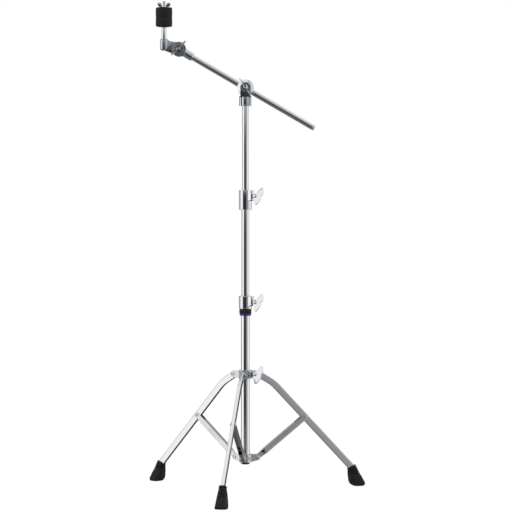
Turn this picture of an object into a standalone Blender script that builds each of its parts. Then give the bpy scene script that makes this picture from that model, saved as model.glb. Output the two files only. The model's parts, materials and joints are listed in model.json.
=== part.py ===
"""Boom cymbal stand: single-braced folding tripod, two telescoping tubes and a tilting boom.

Metres, +Z up. The origin is on the floor under the middle of the stand's bounding box. The stand's
own column axis is a vertical line beside it, which the empty "column_axis" carries; every other
place below is given from that axis.
"""
import math

import bmesh
import bpy
from mathutils import Matrix, Vector

for leftover in list(bpy.data.objects):
    bpy.data.objects.remove(leftover, do_unlink=True)

# ---------------------------------------------------------------- driving dimensions
GAP = 0.0003                    # air between neighbouring solids
ROUND = 20                      # sides of a tube
DISC_ROUND = 24                 # sides of a toothed disc
MID_ROUND = 16                  # sides of a rod, post, hub or washer
SMALL_ROUND = 10                # sides of a pin or a screw

LEG_TURNS = {"front": 10.2, "left": 130.2, "right": -109.8}     # degrees, clockwise from -Y
BOLT_AZIMUTH = math.radians(-40.0)      # side of the column that carries the wing bolts
WING_ROLL = math.radians(-33.0)         # how far the wings are turned from level

BASE_TUBE_R = 0.0127
MIDDLE_TUBE_R = 0.0111
UPPER_TUBE_R = 0.009525
TUBE_WALL = 0.0012
BASE_TUBE_Z = (0.0825, 0.5450)
MIDDLE_TUBE_Z = (0.4050, 0.8500)
UPPER_TUBE_Z = (0.7150, 1.1290)

# Tripod linkage, in the plane of one leg: (distance from the column axis, height).
BRACE_PIVOT = (0.0360, 0.0960)
LEG_BRACE_PIVOT = (0.1830, 0.2080)
LEG_TOP_PIVOT = (0.0400, 0.3350)
LEG_BEND = (0.0860, 0.3084)
LEG_LOWER_ANGLE = math.radians(46.0)
LEG_END_Z = 0.0490
LEG_DEPTH = 0.0190
LEG_WIDTH = 0.0095
LEG_BEND_RADIUS = 0.1200
BRACE_DEPTH = 0.0160
BRACE_TONGUE = 0.0060
SHEET = 0.0015                  # thickness of the leg and brace steel
RIVET_R = 0.0023
RIVET_HEAD_R = 0.0042
RIVET_HEAD = 0.0020
EAR = 0.0020                    # thickness of a collar's ear

FOOT_R = 0.3470                 # distance of a foot's middle from the column axis
SOLE = (-0.0110, 0.0190)        # the flat of the sole, inwards and outwards of FOOT_R
SOLE_HALF_WIDTH = 0.0175

LOWER_COLLAR_Z = (0.0820, 0.1065)
LOWER_COLLAR_R = 0.0170
UPPER_COLLAR_Z = (0.3225, 0.3475)
UPPER_COLLAR_R = 0.0185

LOWER_CLAMP_Z = (0.5229, 0.5596)
LOWER_CLAMP_R = 0.0188
BLACK_RING_Z = (0.5086, 0.5226)
BLACK_RING_R = 0.0175
ACCENT_RING_Z = (0.5034, 0.5083)
ACCENT_RING_R = 0.0168
UPPER_CLAMP_Z = (0.8074, 0.8630)
UPPER_CLAMP_R = 0.0184
LUG_END = 0.0280                # distance of a bolt lug's end face from the column axis

TILTER = (0.0006, 1.1570)       # boom pivot (x, z); its axis runs along Y
SLEEVE_R = 0.0129
SLEEVE_Z = (1.1045, 1.1309)
CHEEK_X = (0.0146, 0.0172)      # the two flat cheeks beside the sleeve
CHEEK_HALF_WIDTH = 0.0085
TILTER_DISC_R = 0.0236
TILTER_PLATE_R = 0.0150
ROD_Y = 0.0235                  # the boom passes behind the column
ROD_R = 0.0079
ROD_SLOPE = math.radians(30.2)
ROD_SPAN = (-0.2030, 0.2235)    # rod ends, measured along it from the boom pivot
CYMBAL_PIVOT_S = -0.2211        # cymbal tilter's pivot, measured the same way
CYMBAL_DISC_R = 0.0208

POST_X = -0.2334
POST_Y = 0.0045
POST_R = 0.0070
STUD_R = 0.0040
SOCKET_R = 0.0112
SOCKET_Z = (1.2670, 1.2968)
POST_Z = (1.2780, 1.3305)
STUD_TOP = 1.4055
FELT_R = 0.0239
FELT_SEATS = (1.3330, 1.3596, 1.3862)   # undersides of the two felts and of the washer


def floor_centre():
    """Middle of the rectangle that the three soles cover, seen from the column axis."""
    xs = []
    ys = []
    for turn in LEG_TURNS.values():
        angle = math.radians(turn)
        outward = Vector((-math.sin(angle), -math.cos(angle)))
        sideways = Vector((outward.y, -outward.x))
        for side in (-SOLE_HALF_WIDTH, SOLE_HALF_WIDTH):
            corner = outward * (FOOT_R + SOLE[1]) + sideways * side * 0.5
            xs.append(corner.x)
            ys.append(corner.y)
    return Vector(((min(xs) + max(xs)) / 2, (min(ys) + max(ys)) / 2, 0.0))


# ---------------------------------------------------------------- materials
def finish(name, colour, roughness, metallic):
    """A Principled BSDF with one colour, roughness and metallic value."""
    material = bpy.data.materials.new(name)
    material.use_nodes = True
    shader = material.node_tree.nodes["Principled BSDF"]
    shader.inputs["Base Color"].default_value = (*colour, 1.0)
    shader.inputs["Roughness"].default_value = roughness
    shader.inputs["Metallic"].default_value = metallic
    return material


FINISHES = {
    "chrome": ((0.86, 0.87, 0.88), 0.08, 1.0),
    "dark_chrome": ((0.62, 0.63, 0.65), 0.14, 1.0),
    "leg_steel": ((0.78, 0.78, 0.77), 0.16, 1.0),
    "brass_rivet": ((0.83, 0.77, 0.62), 0.18, 1.0),
    "rubber": ((0.018, 0.018, 0.018), 0.72, 0.0),
    "black_plastic": ((0.022, 0.022, 0.024), 0.42, 0.0),
    "accent_plastic": ((0.075, 0.055, 0.42), 0.38, 0.0),
    "nylon": ((0.045, 0.045, 0.050), 0.50, 0.0),
    "felt": ((0.030, 0.026, 0.022), 0.95, 0.0),
}


# ---------------------------------------------------------------- shape helpers
def as_mesh(form):
    """Close a bmesh, turn its faces outwards and return it as a mesh."""
    bmesh.ops.remove_doubles(form, verts=form.verts, dist=1e-7)
    bmesh.ops.recalc_face_normals(form, faces=form.faces)
    mesh = bpy.data.meshes.new("shape")
    form.to_mesh(mesh)
    form.free()
    return mesh


def turned(outline, sides=ROUND):
    """Spin a closed (radius, height) outline about Z."""
    form = bmesh.new()
    rings = []
    for radius, height in outline:
        if radius == 0.0:
            rings.append([form.verts.new((0.0, 0.0, height))])
            continue
        ring = []
        for step in range(sides):
            angle = 2 * math.pi * step / sides
            ring.append(form.verts.new((radius * math.cos(angle), radius * math.sin(angle), height)))
        rings.append(ring)
    for index, ring in enumerate(rings):
        other = rings[(index + 1) % len(rings)]
        for step in range(sides):
            corners = [ring[step % len(ring)], ring[(step + 1) % len(ring)],
                       other[(step + 1) % len(other)], other[step % len(other)]]
            corners = list(dict.fromkeys(corners))
            if len(corners) > 2:
                form.faces.new(corners)
    return as_mesh(form)


def pipe(inner, outer, low, high, sides=ROUND):
    """A plain tube along Z."""
    return turned([(inner, low), (outer, low), (outer, high), (inner, high)], sides)


def rod(radius, low, high, sides=SMALL_ROUND):
    """A plain cylinder along Z."""
    return turned([(0.0, low), (radius, low), (radius, high), (0.0, high)], sides)


def slab(outline, low, high):
    """Push a closed (x, z) outline along Y from low to high."""
    form = bmesh.new()
    near = [form.verts.new((x, low, z)) for x, z in outline]
    far = [form.verts.new((x, high, z)) for x, z in outline]
    form.faces.new(near)
    form.faces.new(list(reversed(far)))
    count = len(outline)
    for index in range(count):
        following = (index + 1) % count
        form.faces.new((near[index], far[index], far[following], near[following]))
    return as_mesh(form)


def moved(mesh, *steps):
    """Apply placement matrices to a mesh, first one first."""
    for step in steps:
        mesh.transform(step)
    return mesh


def combined(operation, first, *others):
    """Boolean of a first mesh with each of the others in turn."""
    body = bpy.data.objects.new("body", first)
    bpy.context.scene.collection.objects.link(body)
    for other in others:
        tool = bpy.data.objects.new("tool", other)
        bpy.context.scene.collection.objects.link(tool)
        step = body.modifiers.new("step", "BOOLEAN")
        step.operation = operation
        step.solver = "EXACT"
        step.object = tool
        bpy.context.view_layer.update()
        evaluated = body.evaluated_get(bpy.context.evaluated_depsgraph_get())
        result = bpy.data.meshes.new_from_object(evaluated)
        body.modifiers.remove(step)
        body.data = result
        bpy.data.objects.remove(tool, do_unlink=True)
    mesh = body.data
    bpy.data.objects.remove(body, do_unlink=True)
    form = bmesh.new()
    form.from_mesh(mesh)
    bmesh.ops.remove_doubles(form, verts=form.verts, dist=5e-6)
    bmesh.ops.dissolve_limit(form, angle_limit=math.radians(0.1), verts=form.verts, edges=form.edges)
    return as_mesh(form)


def joined(*meshes):
    """Union of meshes."""
    return combined("UNION", *meshes)


def cut(mesh, *tools):
    """Mesh with the tools taken out of it."""
    return combined("DIFFERENCE", mesh, *tools)


def arc(centre, radius, start, end, steps):
    """Points on an arc in an outline's plane, angles in degrees."""
    points = []
    for step in range(steps + 1):
        angle = math.radians(start + (end - start) * step / steps)
        points.append((centre[0] + radius * math.cos(angle), centre[1] + radius * math.sin(angle)))
    return points


def shift(x=0.0, y=0.0, z=0.0):
    """A move."""
    return Matrix.Translation((x, y, z))


ABOUT_X = Matrix.Rotation(math.radians(90.0), 4, "X")       # lays a Z-long shape along -Y
ALONG_X = Matrix.Rotation(math.radians(90.0), 4, "Y")       # lays a Z-long shape along +X
TOWARDS_BOLT = Matrix.Rotation(BOLT_AZIMUTH, 4, "Z")


def across(radius, x, z, low, high, sides=SMALL_ROUND):
    """A cylinder along Y through (x, z), from low to high."""
    return moved(rod(radius, -high, -low, sides), ABOUT_X, shift(x, 0.0, z))


# ---------------------------------------------------------------- object helpers
materials = {}
for finish_name, (colour, roughness, metallic) in FINISHES.items():
    materials[finish_name] = finish(finish_name, colour, roughness, metallic)

column = bpy.data.objects.new("column_axis", None)
column.location = -floor_centre()
bpy.context.scene.collection.objects.link(column)


def guide(name, parent, location, turn=0.0):
    """An empty that carries a frame or a joint's axis."""
    empty = bpy.data.objects.new(name, None)
    empty.parent = parent
    empty.location = location
    empty.rotation_euler = (0.0, 0.0, turn)
    bpy.context.scene.collection.objects.link(empty)
    return empty


def part(name, mesh, finish_name, parent=None, pivot=(0.0, 0.0, 0.0)):
    """One named piece with its own material; mesh is given in its parent's frame."""
    mesh.transform(Matrix.Translation(-Vector(pivot)))
    mesh.name = name
    mesh.shade_smooth()
    mesh.set_sharp_from_angle(angle=math.radians(35.0))
    own = materials[finish_name].copy()
    own.name = name
    mesh.materials.clear()
    mesh.materials.append(own)
    piece = bpy.data.objects.new(name, mesh)
    piece.parent = parent or column
    piece.location = pivot
    bpy.context.scene.collection.objects.link(piece)
    return piece


# ---------------------------------------------------------------- wing bolts
WING_THICKNESS = 0.0030
WING_HUB_R = 0.0062
WING_HUB_LENGTH = 0.0105
WING_OUTLINE = (                # (distance along the bolt, half span) of one wing, root to root
    (0.0015, 0.0050), (0.0060, 0.0120), (0.0120, 0.0215), (0.0165, 0.0275), (0.0200, 0.0285),
    (0.0235, 0.0240), (0.0275, 0.0150), (0.0285, 0.0080), (0.0265, 0.0025))


def wings(shank_r, shank_length, bore=0.0):
    """A wing bolt along +X: hub from x = 0 outwards, shank from x = 0 inwards.

    With a bore it is a wing nut instead, open all the way through.
    """
    lower = [(x, -span) for x, span in reversed(WING_OUTLINE)]
    blade = slab(list(WING_OUTLINE) + lower, -WING_THICKNESS / 2, WING_THICKNESS / 2)
    hub_points = [(0.0, 0.0), (WING_HUB_R, 0.0), (WING_HUB_R, WING_HUB_LENGTH * 0.8),
                  (WING_HUB_R * 0.75, WING_HUB_LENGTH), (0.0, WING_HUB_LENGTH)]
    body = joined(moved(turned(hub_points, MID_ROUND), ALONG_X), blade)
    if bore:
        return cut(body, moved(rod(bore, -0.002, 0.03), ALONG_X))
    shank = moved(rod(shank_r, -shank_length, 0.002), ALONG_X)
    return joined(body, shank)


def washer(inner, outer, low, high):
    """A flat ring on a bolt along +X."""
    return moved(pipe(inner, outer, low, high, MID_ROUND), ALONG_X)


BOLT_R = 0.0032
BOLT_BORE_R = BOLT_R + GAP + 0.00005
WASHER_THICKNESS = 0.0026
HUB_START = LUG_END + WASHER_THICKNESS + 2 * GAP


def column_wing_bolt(name, washer_name, height, tip):
    """Wing bolt and washer on a lug of the column; tip is how near the axis its end comes."""
    place = shift(HUB_START, 0.0, 0.0)
    roll = Matrix.Rotation(WING_ROLL, 4, "X")
    axis = guide(name + "_axis", column, (0.0, 0.0, height), BOLT_AZIMUTH)
    part(name, moved(wings(BOLT_R, HUB_START - tip), roll, place), "chrome", axis)
    ring = washer(BOLT_BORE_R, 0.0066, LUG_END + GAP, LUG_END + GAP + WASHER_THICKNESS)
    part(washer_name, ring, "black_plastic", axis)


def lug(start, low, high, chamfer, half_width=0.0080):
    """Block that carries a wing bolt, with its lower outer edge cut off."""
    outline = [(start, low - chamfer * 0.45), (LUG_END - 0.0010, low + chamfer * 0.55),
               (LUG_END, low + chamfer * 0.55 + 0.0010), (LUG_END, high - 0.0010),
               (LUG_END - 0.0010, high), (start, high)]
    return moved(slab(outline, -half_width, half_width), TOWARDS_BOLT)


def bolt_bore(height, start):
    """Cutter for a wing bolt's hole, from start outwards."""
    return moved(rod(BOLT_BORE_R, start, 0.05), ALONG_X, shift(z=height), TOWARDS_BOLT)


# ---------------------------------------------------------------- column
def build_column():
    """The tubes, the two height clamps and the rings at the top of the base tube."""
    inner = BASE_TUBE_R - TUBE_WALL
    part("base_tube", pipe(inner, BASE_TUBE_R, *BASE_TUBE_Z), "chrome")
    bottom = BASE_TUBE_Z[0]
    plug = [(0.0, bottom - 0.0055), (0.0100, bottom - 0.0055), (BASE_TUBE_R, bottom - 0.0030),
            (BASE_TUBE_R, bottom - GAP), (inner - GAP, bottom - GAP), (inner - GAP, bottom + 0.010),
            (0.0, bottom + 0.010)]
    part("base_tube_plug", turned(plug), "black_plastic")

    part("middle_tube", pipe(MIDDLE_TUBE_R - TUBE_WALL, MIDDLE_TUBE_R, *MIDDLE_TUBE_Z), "chrome")
    part("upper_tube", pipe(UPPER_TUBE_R - TUBE_WALL, UPPER_TUBE_R, *UPPER_TUBE_Z), "chrome")

    part("accent_ring", pipe(BASE_TUBE_R + GAP, ACCENT_RING_R, *ACCENT_RING_Z), "accent_plastic")
    ring = [(BASE_TUBE_R + GAP, BLACK_RING_Z[0]), (BLACK_RING_R - 0.0008, BLACK_RING_Z[0]),
            (BLACK_RING_R, BLACK_RING_Z[0] + 0.0010), (BLACK_RING_R, BLACK_RING_Z[1]),
            (BASE_TUBE_R + GAP, BLACK_RING_Z[1])]
    part("lower_clamp_skirt", turned(ring), "black_plastic")

    build_clamp("lower_clamp", LOWER_CLAMP_Z, LOWER_CLAMP_R, BASE_TUBE_R, BASE_TUBE_Z[1],
                MIDDLE_TUBE_R, lug_low=0.5310, bolt_z=0.5410, chamfer=0.0060)
    build_clamp("upper_clamp", UPPER_CLAMP_Z, UPPER_CLAMP_R, MIDDLE_TUBE_R, MIDDLE_TUBE_Z[1],
                UPPER_TUBE_R, lug_low=0.8320, bolt_z=0.8440, chamfer=0.0050)


def build_clamp(name, span, radius, tube_r, tube_top, sliding_r, lug_low, bolt_z, chamfer):
    """Clamp casting on a tube's end, the nylon bush above that end, and its wing bolt."""
    low, high = span
    bore = tube_r + GAP
    edge = 0.0008
    casting = turned([(bore, low), (radius - edge, low), (radius, low + edge), (radius, high - edge),
                      (radius - edge, high), (bore, high)])
    casting = joined(casting, lug(tube_r + 0.0025, lug_low, high - 0.0006, chamfer))
    part(name, cut(casting, bolt_bore(bolt_z, 0.010)), "chrome")
    bush_top = high + 0.0006
    bush = pipe(sliding_r + GAP, bore - GAP, tube_top + GAP, bush_top)
    part(name + "_bush", bush, "nylon")
    column_wing_bolt(name + "_wing_bolt", name + "_washer", bolt_z, tube_r + GAP + 0.0002)


# ---------------------------------------------------------------- collars
def ear_outline(start, pivot, low, high, radius):
    """Side view of a collar's ear, round about the pivot."""
    return ([(start, low), (pivot[0], pivot[1] - radius)]
            + arc(pivot, radius, -75.0, 75.0, 4)
            + [(pivot[0], pivot[1] + radius), (start, high)])


def with_ears(ring, start, pivot, low, high, half_gap, radius, hole_r):
    """Add three pairs of ears with rivet holes to a ring."""
    pieces = []
    holes = []
    for turn in LEG_TURNS.values():
        aim = Matrix.Rotation(leg_azimuth(turn), 4, "Z")
        outline = ear_outline(start, pivot, low, high, radius)
        for side in (-1, 1):
            edges = sorted((side * half_gap, side * (half_gap + EAR)))
            pieces.append(moved(slab(outline, *edges), aim))
        holes.append(moved(across(hole_r, pivot[0], pivot[1], -0.02, 0.02), aim))
    return cut(joined(ring, *pieces), *holes)


def leg_azimuth(turn):
    """Angle about Z from +X to a leg's outward direction."""
    return math.radians(-90.0 - turn)


TONGUE_HALF_GAP = BRACE_TONGUE / 2 + GAP
LEG_HALF_GAP = LEG_WIDTH / 2 + GAP


def build_collars():
    """The fixed lower collar and the sliding upper collar with its bush and bolt."""
    low, high = LOWER_COLLAR_Z
    ring = pipe(BASE_TUBE_R + GAP, LOWER_COLLAR_R, low, high)
    collar = with_ears(ring, BASE_TUBE_R + 0.0018, BRACE_PIVOT, low + 0.0010, high - 0.0010,
                       TONGUE_HALF_GAP, 0.0085, RIVET_R + GAP)
    screw_z = (low + high) / 2
    screw_hole = moved(rod(0.0020 + GAP, 0.005, 0.03), ALONG_X, shift(z=screw_z), TOWARDS_BOLT)
    part("lower_collar", cut(collar, screw_hole), "dark_chrome")
    screw = turned([(0.0, BASE_TUBE_R + 0.0006), (0.0020, BASE_TUBE_R + 0.0006),
                    (0.0020, LOWER_COLLAR_R + GAP), (0.0036, LOWER_COLLAR_R + GAP),
                    (0.0036, LOWER_COLLAR_R + 0.0016), (0.0024, LOWER_COLLAR_R + 0.0024),
                    (0.0, LOWER_COLLAR_R + 0.0026)], SMALL_ROUND)
    part("lower_collar_screw", moved(screw, ALONG_X, shift(z=screw_z), TOWARDS_BOLT), "chrome")

    low, high = UPPER_COLLAR_Z
    bush_r = BASE_TUBE_R + 0.0015
    part("upper_collar_bush", pipe(BASE_TUBE_R + GAP, bush_r, low + 0.0002, high - 0.0002), "nylon")
    ring = pipe(bush_r + GAP, UPPER_COLLAR_R, low, high)
    collar = with_ears(ring, bush_r + 0.0018, LEG_TOP_PIVOT, low + 0.0010, high - 0.0010,
                       LEG_HALF_GAP, 0.0090, RIVET_R + GAP)
    bolt_z = LEG_TOP_PIVOT[1]
    collar = joined(collar, lug(bush_r + 0.0018, low + 0.0030, high - 0.0030, 0.0, 0.0072))
    part("upper_collar", cut(collar, bolt_bore(bolt_z, 0.010)), "dark_chrome")
    column_wing_bolt("upper_collar_wing_bolt", "upper_collar_washer", bolt_z, bush_r + GAP + 0.0002)


# ---------------------------------------------------------------- tripod
def leg_path():
    """Centre line of a leg from its top pivot to its lower end, as (radius, height)."""
    top = Vector(LEG_TOP_PIVOT)
    bend = Vector(LEG_BEND)
    down = Vector((math.cos(LEG_LOWER_ANGLE), -math.sin(LEG_LOWER_ANGLE)))
    inward = (top - bend).normalized()
    turn = math.pi - inward.angle(down)
    tangent = LEG_BEND_RADIUS * math.tan(turn / 2)
    first = bend + inward * tangent
    upper_angle = math.atan2(-inward.y, -inward.x)
    centre = first + Vector((math.sin(upper_angle), -math.cos(upper_angle))) * LEG_BEND_RADIUS
    points = [top]
    for step in range(5):
        angle = upper_angle + math.pi / 2 - turn * step / 4
        points.append(centre + Vector((math.cos(angle), math.sin(angle))) * LEG_BEND_RADIUS)
    reach = (bend.y - LEG_END_Z) / -down.y
    points.append(bend + down * reach)
    return points


def offset(points, distance):
    """Points moved sideways: to the upper, outer side when distance is positive."""
    shifted = []
    for index, point in enumerate(points):
        before = points[max(index - 1, 0)]
        after = points[min(index + 1, len(points) - 1)]
        along = (after - before).normalized()
        shifted.append(point + Vector((-along.y, along.x)) * distance)
    return shifted


def leg_mesh():
    """Channel-section leg: web on the upper side, open underneath, round at the top pivot."""
    path = leg_path()
    half = LEG_DEPTH / 2
    start = path[1] - path[0]
    heading = math.degrees(math.atan2(start.y, start.x))
    top_arc = arc(path[0], half, heading + 270.0, heading + 90.0, 6)
    outline = ([tuple(point) for point in offset(path, half)[1:]]
               + [tuple(point) for point in reversed(offset(path, -half)[1:])]
               + top_arc)
    bar = slab(outline, -LEG_WIDTH / 2, LEG_WIDTH / 2)
    overrun = [path[0] - start.normalized() * 0.03] + path
    overrun[-1] = overrun[-1] + (path[-1] - path[-2]).normalized() * 0.03
    hollow = ([tuple(point) for point in offset(overrun, half - SHEET)]
              + [tuple(point) for point in reversed(offset(overrun, -half - 0.004))])
    inside = LEG_WIDTH / 2 - SHEET
    holes = [across(RIVET_R + GAP, x, z, -0.01, 0.01) for x, z in (LEG_TOP_PIVOT, LEG_BRACE_PIVOT)]
    return cut(bar, slab(hollow, -inside, inside), *holes)


def brace_mesh():
    """Channel-section brace along +X from its lower pivot, tongue at the lower end.

    The web is on the upper side and stops short of the outer pivot, so the leg turns between
    the two walls and lies in the open side of the channel when the tripod is folded.
    """
    length = (Vector(LEG_BRACE_PIVOT) - Vector(BRACE_PIVOT)).length
    half = BRACE_DEPTH / 2
    inside = LEG_WIDTH / 2 + GAP
    outside = inside + SHEET
    side_view = (arc((0.0, 0.0), 0.0072, 250.0, 110.0, 5) + [(0.022, half), (length, half)]
                 + arc((length, 0.0), half, 80.0, -80.0, 6) + [(length, -half), (0.022, -half)])
    tongue = BRACE_TONGUE / 2
    top_view = [(-0.02, -tongue), (0.019, -tongue), (0.029, -outside), (length + 0.02, -outside),
                (length + 0.02, outside), (0.029, outside), (0.019, tongue), (-0.02, tongue)]
    plan = moved(slab(top_view, -0.02, 0.02), ABOUT_X)
    bar = combined("INTERSECT", slab(side_view, -outside - 0.001, outside + 0.001), plan)
    web_end = length - 0.034
    hollow = [(0.034, -0.02), (0.038, half - SHEET), (web_end, half - SHEET), (web_end + 0.004, 0.02),
              (length + 0.02, 0.02), (length + 0.02, -0.02)]
    holes = [across(RIVET_R + GAP, x, 0.0, -0.01, 0.01) for x in (0.0, length)]
    return cut(bar, slab(hollow, -inside, inside), *holes)


def rivet_dome(outer):
    """Outline of a rivet's head, whose underside is at height outer."""
    return [(RIVET_R, outer + GAP), (RIVET_HEAD_R, outer + GAP),
            (RIVET_HEAD_R, outer + GAP + RIVET_HEAD * 0.35),
            (RIVET_HEAD_R * 0.72, outer + GAP + RIVET_HEAD * 0.85), (0.0, outer + GAP + RIVET_HEAD)]


def rivet(outer):
    """Rivet along Y, headed at both ends, through plates whose outer faces are at +-outer."""
    head = rivet_dome(outer)
    mirrored = [(radius, -height) for radius, height in reversed(head)]
    return moved(turned(mirrored + head, SMALL_ROUND), ABOUT_X)


def stud(inner, outer, side):
    """Short headed stud in one ear only, on the -Y side (-1) or the +Y side (1)."""
    outline = [(0.0, inner), (RIVET_R, inner)] + rivet_dome(outer)
    turn = ABOUT_X if side < 0 else ABOUT_X.inverted()
    return moved(turned(outline, SMALL_ROUND), turn)


def foot_mesh():
    """Ribbed rubber boot on a leg's end, as horizontal slices from the sole up."""
    inner_edge = [(0.0000, SOLE[0]), (0.0035, -0.0175), (0.0100, -0.0235), (0.0180, -0.0262)]
    outer_edge = [(0.0000, SOLE[1]), (0.0030, 0.0225), (0.0070, 0.0238), (0.0180, 0.0185)]
    half_width = [0.0165, SOLE_HALF_WIDTH, 0.0170, 0.0150]
    slices = []
    for (z, inner), (_, outer), width in zip(inner_edge, outer_edge, half_width):
        slices.append(((inner, z), (outer, z), width))
    top_inner = Vector((-0.0290, 0.0520))
    top_outer = Vector((-0.0050, 0.0620))
    rib_count = 4
    for step in range(rib_count * 2):
        share = (step + 1) / (rib_count * 2)
        groove = 0.0 if step % 2 else 0.0014
        inner = Vector((-0.0262, 0.0180)).lerp(top_inner, share) + Vector((groove, 0.0))
        outer = Vector((0.0185, 0.0180)).lerp(top_outer, share) - Vector((groove, 0.0))
        slices.append((tuple(inner), tuple(outer), 0.0146 - 0.0022 * share - groove))
    slices.append(((-0.0265, 0.0532), (-0.0072, 0.0625), 0.0105))
    form = bmesh.new()
    rings = []
    sides = 16
    power = 0.62
    for inner, outer, width in slices:
        ring = []
        for step in range(sides):
            angle = 2 * math.pi * step / sides
            reach = math.copysign(abs(math.cos(angle)) ** power, math.cos(angle))
            swing = math.copysign(abs(math.sin(angle)) ** power, math.sin(angle))
            share = (reach + 1) / 2
            x = inner[0] + (outer[0] - inner[0]) * share
            z = inner[1] + (outer[1] - inner[1]) * share
            ring.append(form.verts.new((FOOT_R + x, width * swing, z)))
        rings.append(ring)
    for lower, upper in zip(rings, rings[1:]):
        for step in range(sides):
            following = (step + 1) % sides
            form.faces.new((lower[step], lower[following], upper[following], upper[step]))
    form.faces.new(list(reversed(rings[0])))
    form.faces.new(rings[-1])
    boot = as_mesh(form)
    end = leg_path()[-1]
    back = Vector((-math.cos(LEG_LOWER_ANGLE), math.sin(LEG_LOWER_ANGLE)))
    half = LEG_DEPTH / 2 + GAP * 1.5
    points = offset([end - back * GAP * 2, end + back * 0.06], half)
    points += list(reversed(offset([end - back * GAP * 2, end + back * 0.06], -half)))
    pocket_half_width = LEG_WIDTH / 2 + GAP * 1.5
    pocket = slab([tuple(point) for point in points], -pocket_half_width, pocket_half_width)
    return cut(boot, pocket)


def build_tripod():
    """Three legs, braces and feet with their rivets, one set for each direction."""
    brace_line = Vector(LEG_BRACE_PIVOT) - Vector(BRACE_PIVOT)
    brace_tilt = Matrix.Rotation(-math.atan2(brace_line.y, brace_line.x), 4, "Y")
    brace_place = shift(BRACE_PIVOT[0], 0.0, BRACE_PIVOT[1])
    top = (LEG_TOP_PIVOT[0], 0.0, LEG_TOP_PIVOT[1])
    middle = (LEG_BRACE_PIVOT[0], 0.0, LEG_BRACE_PIVOT[1])
    bottom = (BRACE_PIVOT[0], 0.0, BRACE_PIVOT[1])
    for side, turn in LEG_TURNS.items():
        plane = guide("leg_plane_" + side, column, (0.0, 0.0, 0.0), leg_azimuth(turn))
        part("leg_" + side, leg_mesh(), "leg_steel", plane, middle)
        part("foot_" + side, foot_mesh(), "rubber", plane, middle)
        brace = moved(brace_mesh(), brace_tilt, brace_place)
        part("brace_" + side, brace, "leg_steel", plane, bottom)
        wall = LEG_WIDTH / 2 + GAP + SHEET
        pin = moved(rivet(wall), shift(middle[0], 0.0, middle[2]))
        part("leg_brace_rivet_" + side, pin, "brass_rivet", plane, middle)
        pin = moved(rivet(TONGUE_HALF_GAP + EAR), shift(bottom[0], 0.0, bottom[2]))
        part("brace_base_rivet_" + side, pin, "brass_rivet", plane, bottom)
        for letter, hand in (("a", -1), ("b", 1)):
            pin = moved(stud(LEG_HALF_GAP, LEG_HALF_GAP + EAR, hand), shift(top[0], 0.0, top[2]))
            part(f"leg_top_stud_{side}_{letter}", pin, "brass_rivet", plane, top)


# ---------------------------------------------------------------- boom
PLATE_Y = (-0.0150, -0.0056)        # the tilter's fixed face plate
DISC_Y = (-0.0053, 0.0055)          # the toothed disc behind it
EYE_R = 0.0127
EYE_HALF = 0.0085
LINER_WALL = 0.0012


def along_boom(mesh):
    """Lay a Z-long shape along the boom, low end first, with its origin on the boom pivot."""
    lean = Matrix.Rotation(math.radians(90.0) + ROD_SLOPE, 4, "Y")
    return moved(mesh, lean, shift(TILTER[0], ROD_Y, TILTER[1]))


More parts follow.
